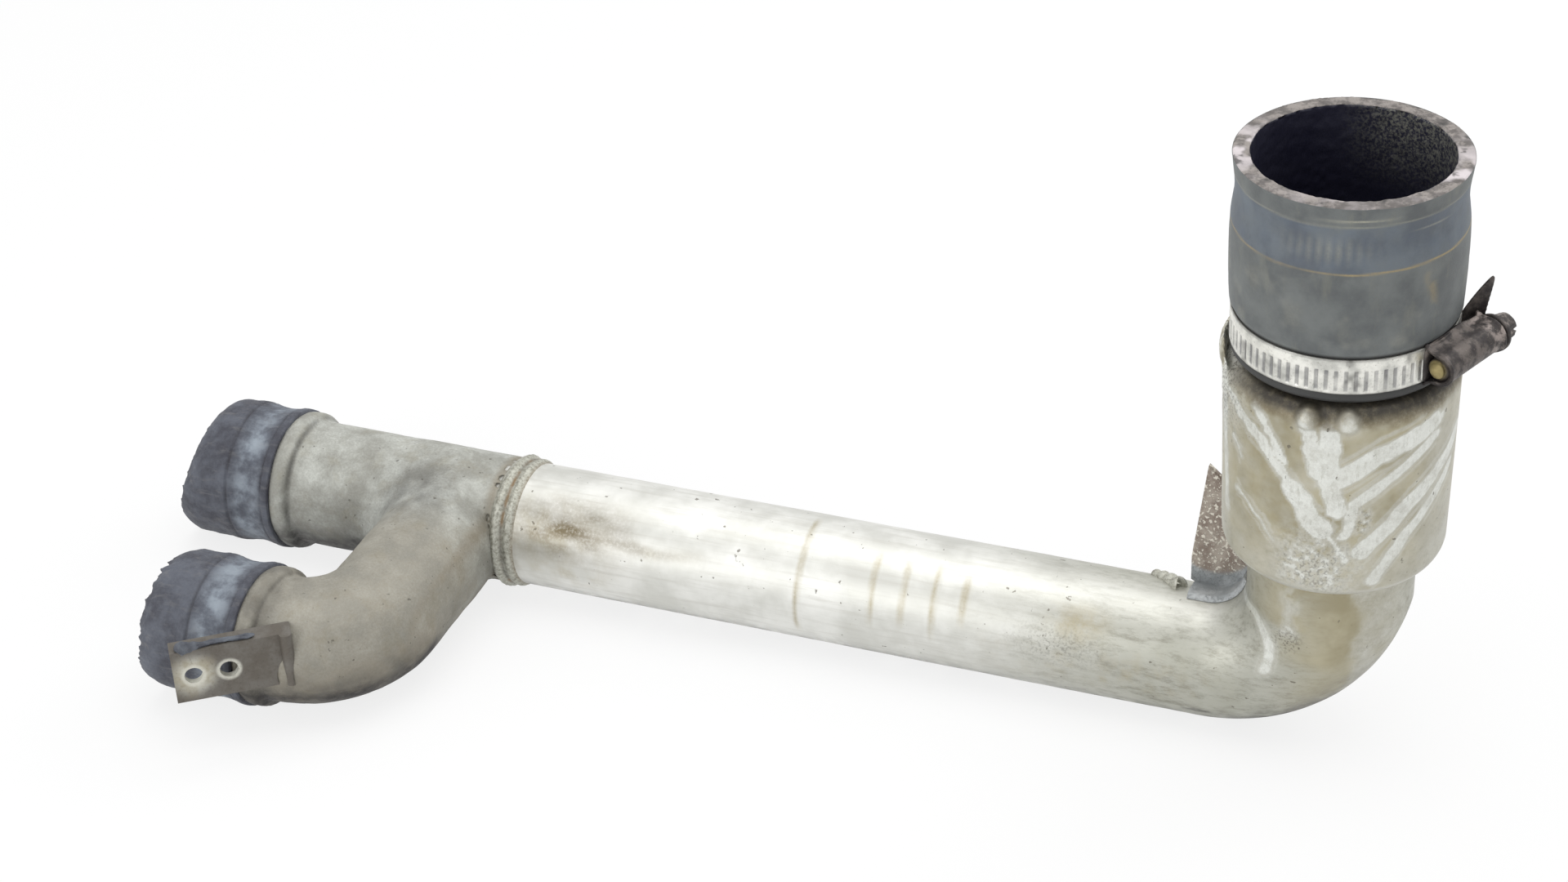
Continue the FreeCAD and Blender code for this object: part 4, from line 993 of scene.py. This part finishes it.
def hose_masks(plain, angle, z, on_outer, on_rim, on_bore, teeth):
    """Clamp print and its tan line, rubbed marks, worn rim, dusty bore, painted shade on the lips beside the
    clamp.
    """
    ragged = rough(plain, 4, 97)
    drift = 0.5 * rough(plain, 20, 98)
    level = z + drift + 1.4 * np.cos(np.radians(angle + 100))
    print_here = smooth(178.2, 179.0, level) * (1 - smooth(193.6, 194.6, level))
    line = bump(level, 178.4, 0.55) * (0.55 + 0.5 * smooth(-100, -50, angle) + 0.5 * ragged)
    upper_line = 0.4 * bump(level, 194.4, 0.5)
    scratch = bump(level, 196.6, 0.55) * bump(angle, -74, 26)
    scratch = np.maximum(scratch, 0.5 * bump(level, 190.2, 0.35) * bump(angle, -35, 22))
    smear = 0.5 * bump(angle + 0.35 * (z - 178), -38, 5) * bump(z, 170, 14) * smooth(-0.4, 0.5, ragged)
    dusty = 0.28 * smooth(0.1, 0.7, rough(plain, 8, 99)) * bump(z, 160, 22)
    worn = np.maximum(bump(angle, -8, 55), bump(round_from(angle, -168), 0, 45))
    worn = (worn + 0.4 * bump(angle, -90, 40)) * smooth(-0.35, 0.35, rough(plain, 5, 102))
    lip = 1 - smooth(BAND_HIGH + 0.3, BAND_HIGH + 1.8, z)
    chipped = smooth(0.3, 0.65, rough(plain, 3.2, 100))
    return {
        "imprint": on_outer * print_here * (0.8 + 0.3 * ragged),
        "pale": on_outer * np.maximum.reduce([scratch, upper_line, 0.35 * teeth, dusty]),
        "worn": on_rim * worn,
        "tan": on_outer * np.maximum(line, smear),
        "rim": on_rim * 1.0,
        "inside": on_bore * 1.0,
        "dust": on_bore * smooth(0.15, 0.8, bump(angle, 48, 90)) * smooth(168, 197, z),
        # Painted shade beside the clamp; dirt in the rim's chips.
        "grime_and_shade": np.maximum(on_outer * 0.85 * lip, on_rim * 0.8 * chipped),
    }


# Worm-drive clamp

def clamp_place(out, way, up):
    """Clamp directions to places: out from the can's axis, along the worm, and up from the worm's level."""
    turn = math.radians(WORM_ANGLE)
    x = out * math.cos(turn) - way * math.sin(turn)
    y = out * math.sin(turn) + way * math.cos(turn)
    return np.stack(np.broadcast_arrays(x, y, up + WORM_Z), -1)


def make_strap(finish):
    """Clamp strap: a flat ring with rounded edges and a row of pressed slots in its lower part."""
    columns = 1400
    outer_rows = 30
    slot_pitch = 4.9
    outer_z = np.linspace(BAND_LOW + 0.15, BAND_HIGH - 0.15, outer_rows)
    outer = np.stack([np.full(outer_rows, BAND_R), outer_z], -1)
    inner_r = HOSE_GRIP_R + 0.05
    inner = [(inner_r, BAND_HIGH - 0.1), (HOSE_GRIP_R, WORM_Z), (inner_r, BAND_LOW + 0.1)]
    profile = np.concatenate([[(BAND_R - 0.25, BAND_LOW)], outer, [(BAND_R - 0.25, BAND_HIGH)], inner])
    plain = turned(profile, columns)
    angle = angle_of(plain)
    z = plain[..., 2]
    phase = np.abs((angle / slot_pitch) % 1 - 0.5) * slot_pitch
    wide = (1 - smooth(0.75, 1.2, phase)) * (0.75 + 0.4 * rough(plain, 6, 114))
    tall = smooth(BAND_LOW + 0.9, BAND_LOW + 1.4, z) * (1 - smooth(BAND_LOW + 8.0, BAND_LOW + 8.6, z))
    clear = 1 - bump(round_from(angle, WORM_ANGLE + 8), 0, 17) ** 0.25
    outside = (np.arange(len(profile)) <= outer_rows + 1)[:, None]
    slot = wide * tall * clear * outside
    swell = -0.42 * slot + outside * (0.06 * rough(plain, 2.4, 111) + 0.10 * rough(plain, 14, 112))
    grid = turned(profile, columns, swell)
    lip = outside * np.maximum(bump(z, BAND_LOW, 0.8), bump(z, BAND_HIGH, 1.2))
    grime_and_shade = 0.55 * lip + 0.5 * smooth(0.35, 0.8, rough(plain, 5, 113))
    masks = {"slot": slot, "grime_and_shade": grime_and_shade}
    return make_piece("clamp_strap", [tube_part(grid)], finish, ["clamp_band"], masks)


def make_strap_tail(finish):
    """Strap's cut end bent up past the housing: a pointed leaf, notched on one edge, of flat sections."""
    rows, columns = 70, 20
    rise = np.linspace(0, 1, rows)
    turn = full_turn(columns)
    half = 5.6 * (1 - rise) ** 0.7 + 0.25
    notch = 0.35 * np.abs(np.sin(rise * 34)) * (1 - rise)
    side = np.sign(np.cos(turn)) * np.abs(np.cos(turn)) ** 0.4
    thick = 0.45 * np.sign(np.sin(turn)) * np.abs(np.sin(turn)) ** 0.4
    wide = side * (half[:, None] - notch[:, None] * (side > 0)) + 1.8 * rise[:, None]
    angle = math.radians(WORM_ANGLE + 33)
    out = np.array([math.cos(angle), math.sin(angle), 0])
    face = np.array([math.cos(angle - 1.15), math.sin(angle - 1.15), 0])
    around = np.array([-face[1], face[0], 0])
    level = BAND_LOW + 4 + 20.0 * rise
    lean = BAND_R + 1.6 + 5.4 * rise ** 1.4
    grid = lean[:, None, None] * out + thick[:, None] * face + wide[..., None] * around
    grid[..., 2] = level[:, None]
    crust = np.full(rows * columns + 2, 0.1)
    return make_piece("strap_tail", [capped_part(grid)], finish, (),
                      {"crust": crust, "brass": 0 * crust})


def make_housing(finish):
    """Pressed clamp housing: an arch section with spread feet carried along the worm, its ends rolled to
    rims, and a curved plate under it on the strap."""
    start, length = -7.6, 29.2
    arch_r = 5.3
    rows = 70
    arch = np.radians(np.linspace(-90, 90, 40))
    outer = np.concatenate([[(-4.9, -7.0), (-4.4, -7.0), (-3.9, -6.2), (-2.6, -5.5)],
                            np.stack([arch_r * np.cos(arch), arch_r * np.sin(arch)], -1),
                            [(-2.6, 5.5), (-3.9, 6.2), (-4.4, 7.0), (-4.9, 7.0)]])
    inner = outer[::-1] * np.where(np.abs(outer[::-1, 1:]) > 5.4, 1.0, 0.83) - [0.35, 0.0]
    inner[:, 1] *= 0.9
    section = np.concatenate([outer, inner])
    share = np.linspace(0, 1, rows)
    way = start + length * share
    rim = 1 + 0.16 * bump(share, 0.965, 0.035) + 0.07 * bump(share, 0.02, 0.03)
    out = section[:, 0] * rim[:, None]
    up = section[:, 1] * rim[:, None]
    feet = smooth(-1.5, -4.5, section[:, 0])
    narrow = 1 - 0.16 * smooth(0.62, 0.86, share)[:, None] * feet
    grid = clamp_place(WORM_R + out, way[:, None], up * narrow)
    saddle = saddle_grid()
    arch_crust = np.repeat(np.maximum(0.72 * smooth(0.55, 0.95, share), 0.12), len(section))
    crust = np.append(arch_crust, np.full(saddle[..., 0].size + 2, 0.15))
    return make_piece("worm_housing", [capped_strip(grid), capped_part(saddle)], finish,
                      ["clamp_housing"], {"crust": crust, "brass": 0 * crust})


def saddle_grid():
    """Curved plate of the housing on the strap: a ring section swept through a short arc, ends drawn in."""
    rows = 60
    angle = np.radians(WORM_ANGLE + np.linspace(-12.5, 17, rows))
    draw = np.clip(1 - np.abs(np.linspace(-1, 1, rows)) ** 14, 0.02, 1)[:, None]
    lift = np.array([0.05, 0.75, 0.95, 0.95, 0.75, 0.05, 0.0])
    up = np.array([-6.9, -6.7, -5.5, 5.5, 6.7, 6.9, 0.0])
    radius = BAND_R + lift * draw
    return np.stack([radius * np.cos(angle)[:, None], radius * np.sin(angle)[:, None],
                     WORM_Z + up * draw ** 0.3], -1)


def make_worm(finish):
    """Worm screw turned about its own axis: threaded shank, flange, and a six-sided head with a slot."""
    columns = 132
    turn = full_turn(columns)
    seat = 21.6
    shank_way = np.linspace(-9.5, seat, 150)
    thread = 0.45 * np.sin(2 * math.pi * shank_way[:, None] / 3.1 - turn)
    taper = np.sqrt(np.clip((shank_way + 9.6) / 1.4, 0.02, 1))[:, None]
    core = 2.5 + 1.3 * smooth(-7.6, -6.4, shank_way)[:, None]
    shank = (core + thread * smooth(-8.4, -7.0, shank_way)[:, None]) * taper
    flange_way = np.array([seat, seat + 0.2, seat + 1.2, seat + 1.4])
    flange = np.array([6.0, 6.3, 6.3, 6.0])[:, None] + 0 * turn
    six = 4.0 / np.cos((turn + math.pi / 6) % (math.pi / 3) - math.pi / 6)
    head_way = np.array([seat + 1.45, seat + 3.0, seat + 5.5, seat + 6.8, seat + 7.35])
    head = np.minimum(six, np.array([4.6, 4.6, 4.6, 4.5, 4.1])[:, None])
    face = np.minimum(six, 4.1) * np.linspace(0.94, 0.06, 16)[:, None]
    way = np.concatenate([shank_way, flange_way, head_way, np.full(16, seat + 7.4)])
    radius = np.concatenate([shank, flange, head, face])
    up = radius * np.sin(turn)
    out = radius * np.cos(turn)
    slot = (1 - smooth(0.5, 0.75, np.abs(up))) * smooth(seat + 6.2, seat + 7.2, way)[:, None]
    grid = clamp_place(WORM_R + out, way[:, None] - 2.2 * slot, up)
    tip = np.concatenate([np.repeat(smooth(-6.6, -7.6, way), columns), [1, 0]])
    crust = np.concatenate([np.repeat(0.5 * smooth(seat, seat + 2, way), columns), [0, 0.4]])
    return make_piece("worm_screw", [capped_part(grid)], finish, ["clamp_screw"],
                      {"brass": tip, "crust": crust})


# Torn hose stubs

def make_stub(name, node, finish, start, y, bore, skew, torn_by, seed):
    """Torn hose: rings along -X from the bead, pressed in by its lost clamp, swollen beyond, with a frayed
    end whose place along depends on the angle; the inside returns along the bore."""
    columns = 220
    turn = full_turn(columns)
    circle = np.stack([0 * turn, np.cos(turn), np.sin(turn)], -1)
    share = np.linspace(0, 1, 76)
    fray = torn_by * (0.8 * rough(circle * 20, 12, seed) + 0.7 * rough(circle * 20, 2.2, seed + 3))
    length = STUB_LENGTH - skew / 2 * np.sin(turn) + fray - 1.2
    depth = share[:, None] * length
    outer = bore + STUB_WALL
    plain = circle * outer + np.stack([start - depth, 0 * depth, 0 * depth], -1)
    press = bump(depth, 10, 7.2) ** 0.5
    groove = bump(depth, 17.6, 0.8) + bump(depth, 3.2, 0.6)
    taper = 3.4 * (np.clip(share - 0.78, 0, 1) / 0.22)[:, None] ** 2
    slack = (0.4 * rough(plain, 11, seed + 5) - 0.3) * smooth(14, 26, depth)
    radius = outer - 0.95 * press + 0.35 * bump(depth, 19.5, 4) + 0.2 * bump(depth, 1.6, 2.5)
    radius = radius - 0.5 * groove - taper + slack + 0.12 * rough(plain, 2.0, seed + 7)
    outside = circle * radius[..., None]
    outside[..., 0] = start - depth
    torn = np.linspace(0, 1, 8)[1:, None]
    lips = outside[-1] - circle * (torn * (radius[-1] - bore - 0.2))[..., None]
    lips[..., 0] += 1.6 * rough(lips, 1.6, seed + 9) * np.sin(np.pi * torn)
    back = np.linspace(1, 0, 24)[1:, None]
    inside = np.repeat([circle * (bore + 0.05)], len(back), axis=0)
    inside[..., 0] = start - back * length
    grid = np.concatenate([outside, lips, inside])
    grid[..., 1] += y
    imprint = press * (0.75 + 0.35 * rough(plain, 7, seed + 11))
    # Darker in the grooves, and towards the underside as painted shade.
    grime_and_shade = 0.55 * groove * smooth(-0.6, 0.4, rough(plain, 6, seed + 13))
    grime_and_shade = grime_and_shade + 0.55 * smooth(-6, -22, outside[..., 2])
    hidden = np.zeros((len(lips) + len(inside), columns))
    # Painted shade inside the torn end.
    masks = {"imprint": np.concatenate([imprint, hidden]), "grime_and_shade": np.concatenate([grime_and_shade, hidden + 0.75])}
    return make_piece(name, [tube_part(grid)], finish, [node], masks)


def make_flap(finish):
    """Strip of torn rubber lying along the tab's upper edge: a lumpy rod, thick at the free end."""
    rows, columns = 90, 40
    tab_angle = math.radians(36)
    share = np.linspace(0, 1, rows)
    turn = full_turn(columns)
    way = np.array([math.cos(tab_angle), math.sin(tab_angle), 0])
    across = np.array([way[1], -way[0], 0])
    top = (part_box("tab_bracket")[1].z - CORNER[2]) / MM
    centre = np.array([-370.4, -132.9, top + 0.8]) + (0.5 + 28 * share)[:, None] * way
    circle = np.cos(turn)[:, None] * across + np.sin(turn)[:, None] * np.array([0, 0, 1.0])
    plain = centre[:, None] + 3 * circle
    size = (0.9 + 1.7 * smooth(0.45, 0.05, share))[:, None] * (1 + 0.5 * rough(plain, 3.0, 151))
    size = size * rounded_ends(share, 12, 0.01)[:, None]
    grid = centre[:, None] + circle * size[..., None]
    dull = np.full(rows * columns + 2, 0.35)
    return make_piece("torn_rubber_flap", [capped_part(grid)], finish, (),
                      {"imprint": dull, "grime_and_shade": dull})


# Gusset

def gusset_plate():
    """Upright slices from the bend's inside up to a peak, two faces apart, and where its metal is bare."""
    rows, half = 80, 40
    x = np.linspace(GUSSET_OUTER, GUSSET_INNER, rows)
    under_can = CAN_BASE - 0.5
    hug = ELBOW_INNER + 1.4
    bottom = PIVOT_Z - np.sqrt(np.clip(hug ** 2 - (x + PIVOT_X) ** 2, 1, None))
    peak_x = [GUSSET_OUTER, -44.6, -37.2, -36.4, GUSSET_INNER]
    top = np.interp(x, peak_x, [33.0, 70.5, 64.0, under_can, under_can])
    share = np.linspace(0, 1, half)
    climb = np.concatenate([share, share[::-1]])
    side = np.repeat([GUSSET_BACK, GUSSET_BACK + GUSSET_GAUGE], half)
    z = bottom[:, None] + climb * (top - bottom)[:, None]
    bends = rough(np.stack(np.broadcast_arrays(x[:, None], 0, climb * 50), -1), 12, 131)
    grid = np.stack(np.broadcast_arrays(x[:, None], side + 0.25 * bends, z), -1)
    return grid, smooth(7.5, 5.5, z - bottom[:, None])


def gusset_foot():
    """Thin strip on the tube's upper side: a section that follows its round, carried along the bend."""
    thickness = 1.3
    straight = 12
    way = np.linspace(-0.55, 1, 70)[:, None]
    swing = np.radians(80) * np.clip(way, 0, 1)
    y = np.linspace(-3.0, GUSSET_BACK + GUSSET_GAUGE, 20)
    lift = ELBOW_INNER + PIPE_R - np.sqrt(PIPE_R ** 2 - y ** 2)
    edge = np.clip((y - y[0]) / 1.2, 0.1, 1)
    reach = np.concatenate([lift - 0.2 - thickness * edge, lift[::-1] - 0.1])
    x = straight * np.minimum(way, 0) - PIVOT_X + np.sin(swing) * reach
    z = PIVOT_Z - np.cos(swing) * reach
    return np.stack(np.broadcast_arrays(x, np.concatenate([y, y[::-1]]), z), -1)


def make_gusset(finish):
    """Rusty plate in the elbow's corner and its bare foot on the bend."""
    plate, low = gusset_plate()
    foot = gusset_foot()
    bare = np.append(low, np.ones(foot[..., 0].size))
    return make_piece("gusset_plate", [capped_strip(plate), capped_strip(foot)], finish,
                      ["gusset_bracket"], {"foot": bare})


# Stage, light and camera

def make_floor():
    """Wide pale floor, laid against the elbow and the stubs that the part rests on."""
    half = 6.0
    between_rests = 0.350
    tilt = math.atan2(pipe_low.z - cad_low.z, between_rests)
    side = np.array([-half, half])
    x, y = np.meshgrid(side, side, indexing="ij")
    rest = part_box("upper_hose_stub")[1].x
    points = np.stack([x, y, (x - rest) * math.tan(tilt)], -1).reshape(-1, 3)
    mesh = bpy.data.meshes.new("floor")
    mesh.from_pydata(points.tolist(), [], [(0, 2, 3, 1)])
    n = Nodes("pale_floor")
    color = n.mix(n.noise(600, 2, 0.5), rgb(249, 250, 250), rgb(252, 252, 252))
    n.finish(color, 0.9, 0.0)
    n.shader.inputs["Specular IOR Level"].default_value = 0.1
    white = n.tree.nodes.new("ShaderNodeEmission")
    white.inputs["Color"].default_value = (1, 1, 1, 1)
    white.inputs["Strength"].default_value = 1.0
    path = n.tree.nodes.new("ShaderNodeLightPath")
    seen = n.math("MAXIMUM", path.outputs["Is Camera Ray"], path.outputs["Is Glossy Ray"])
    seen = n.math("MAXIMUM", seen, path.outputs["Is Transmission Ray"])
    share = n.times(seen, 0.80)
    blend = n.tree.nodes.new("ShaderNodeMixShader")
    n.link(share, blend.inputs["Fac"])
    n.link(n.shader.outputs["BSDF"], blend.inputs[1])
    n.link(white.outputs["Emission"], blend.inputs[2])
    n.link(blend.outputs["Shader"], n.tree.nodes["Material Output"].inputs["Surface"])
    mesh.materials.append(n.material)
    floor = bpy.data.objects.new("floor", mesh)
    bpy.context.scene.collection.objects.link(floor)


def make_light():
    """White surroundings and three large soft lamps: overhead, from the front left and from behind."""
    world = bpy.data.worlds.new("studio")
    bpy.context.scene.world = world
    world.use_nodes = True
    nodes, links = world.node_tree.nodes, world.node_tree.links
    surroundings = nodes["Background"]
    surroundings.inputs["Color"].default_value = (1, 1, 1, 1)
    surroundings.inputs["Strength"].default_value = 0.60
    backdrop = nodes.new("ShaderNodeBackground")
    backdrop.inputs["Color"].default_value = (1, 1, 1, 1)
    backdrop.inputs["Strength"].default_value = 1.0
    path = nodes.new("ShaderNodeLightPath")
    seen = path.outputs["Is Camera Ray"]
    for kind in ("Is Glossy Ray", "Is Transmission Ray"):
        either = nodes.new("ShaderNodeMath")
        either.operation = "MAXIMUM"
        links.new(seen, either.inputs[0])
        links.new(path.outputs[kind], either.inputs[1])
        seen = either.outputs["Value"]
    mix = nodes.new("ShaderNodeMixShader")
    links.new(seen, mix.inputs["Fac"])
    links.new(surroundings.outputs["Background"], mix.inputs[1])
    links.new(backdrop.outputs["Background"], mix.inputs[2])
    links.new(mix.outputs["Shader"], nodes["World Output"].inputs["Surface"])
    middle = (Vector(cad_low) + Vector(cad_high)) / 2
    lamps = (
        # name, place from the part's middle in metres, size in metres, power in watts
        ("overhead_lamp", (0.1, 0.1, 1.6), 1.6, 13.0),
        ("front_lamp", (-0.9, -1.5, 0.5), 1.2, 7.5),
        ("back_lamp", (0.9, 1.2, 0.9), 1.2, 5.0),
    )
    for name, away, size, power in lamps:
        lamp = bpy.data.lights.new(name, "AREA")
        lamp.shape = "DISK"
        lamp.size = size
        lamp.energy = power
        holder = bpy.data.objects.new(name, lamp)
        holder.location = middle + Vector(away)
        holder.rotation_mode = "QUATERNION"
        holder.rotation_quaternion = Vector(away).to_track_quat("Z", "Y")
        bpy.context.scene.collection.objects.link(holder)


def make_camera():
    """Camera at the photograph's place, in millimetres from the corner, with its heading, pitch and roll."""
    away = np.array([183.96, -883.85, 677.07])
    heading, pitch, roll = 23.216, 32.860, -3.142
    focal_px, width_px = 4000.0, 1919.0
    camera = bpy.data.objects.new("camera", bpy.data.cameras.new("camera"))
    camera.data.sensor_width = 36.0
    camera.data.lens = focal_px / width_px * camera.data.sensor_width
    turn = Matrix.Rotation(math.radians(heading), 4, "Z") @ Matrix.Rotation(math.radians(90 - pitch), 4, "X")
    turn = turn @ Matrix.Rotation(math.radians(roll), 4, "Z")
    camera.matrix_world = Matrix.Translation(Vector(CORNER + away * MM)) @ turn
    bpy.context.scene.collection.objects.link(camera)
    bpy.context.scene.camera = camera


def dress_cad_nodes(finishes):
    """Finishes for the solids that stay as they are."""
    for name, finish in finishes.items():
        mesh = frame["nodes"][name].data
        mesh.materials.clear()
        mesh.materials.append(finish)


bpy.context.scene.view_settings.view_transform = "Standard"
make_floor()
make_light()
make_camera()
aluminium = weathered_aluminium()
weld = weld_metal()
stub_finish = stub_rubber()
clamp_dark = dark_clamp_steel()
make_tube(aluminium)
make_branch(sand_cast_aluminium())
make_branch_weld(weld)
make_can(aluminium)
make_crust(aluminium)
make_can_seam(weld)
make_hose(hose_rubber())
make_strap(strap_steel())
make_strap_tail(clamp_dark)
make_housing(clamp_dark)
make_worm(clamp_dark)
make_stub("upper_torn_stub", "upper_hose_stub", stub_finish, RUN_END - BEAD_WIDTH, 0.0,
          RUN_R - NIPPLE_DROP + 0.1, 13.0, 0.5, 121)
make_stub("lower_torn_stub", "lower_hose_stub", stub_finish, SIDE_END - BEAD_WIDTH, SIDE_Y,
          SIDE_R - NIPPLE_DROP + 0.1, 4.0, 1.6, 141)
make_gusset(rusty_gusset_steel())
make_flap(stub_finish)
tab_finish = tab_steel()
dress_cad_nodes({"perforated_sleeve": dull_sleeve_aluminium(), "tab_bracket": tab_finish,
                 "tab_weld": tab_finish, "gusset_weld": weld})
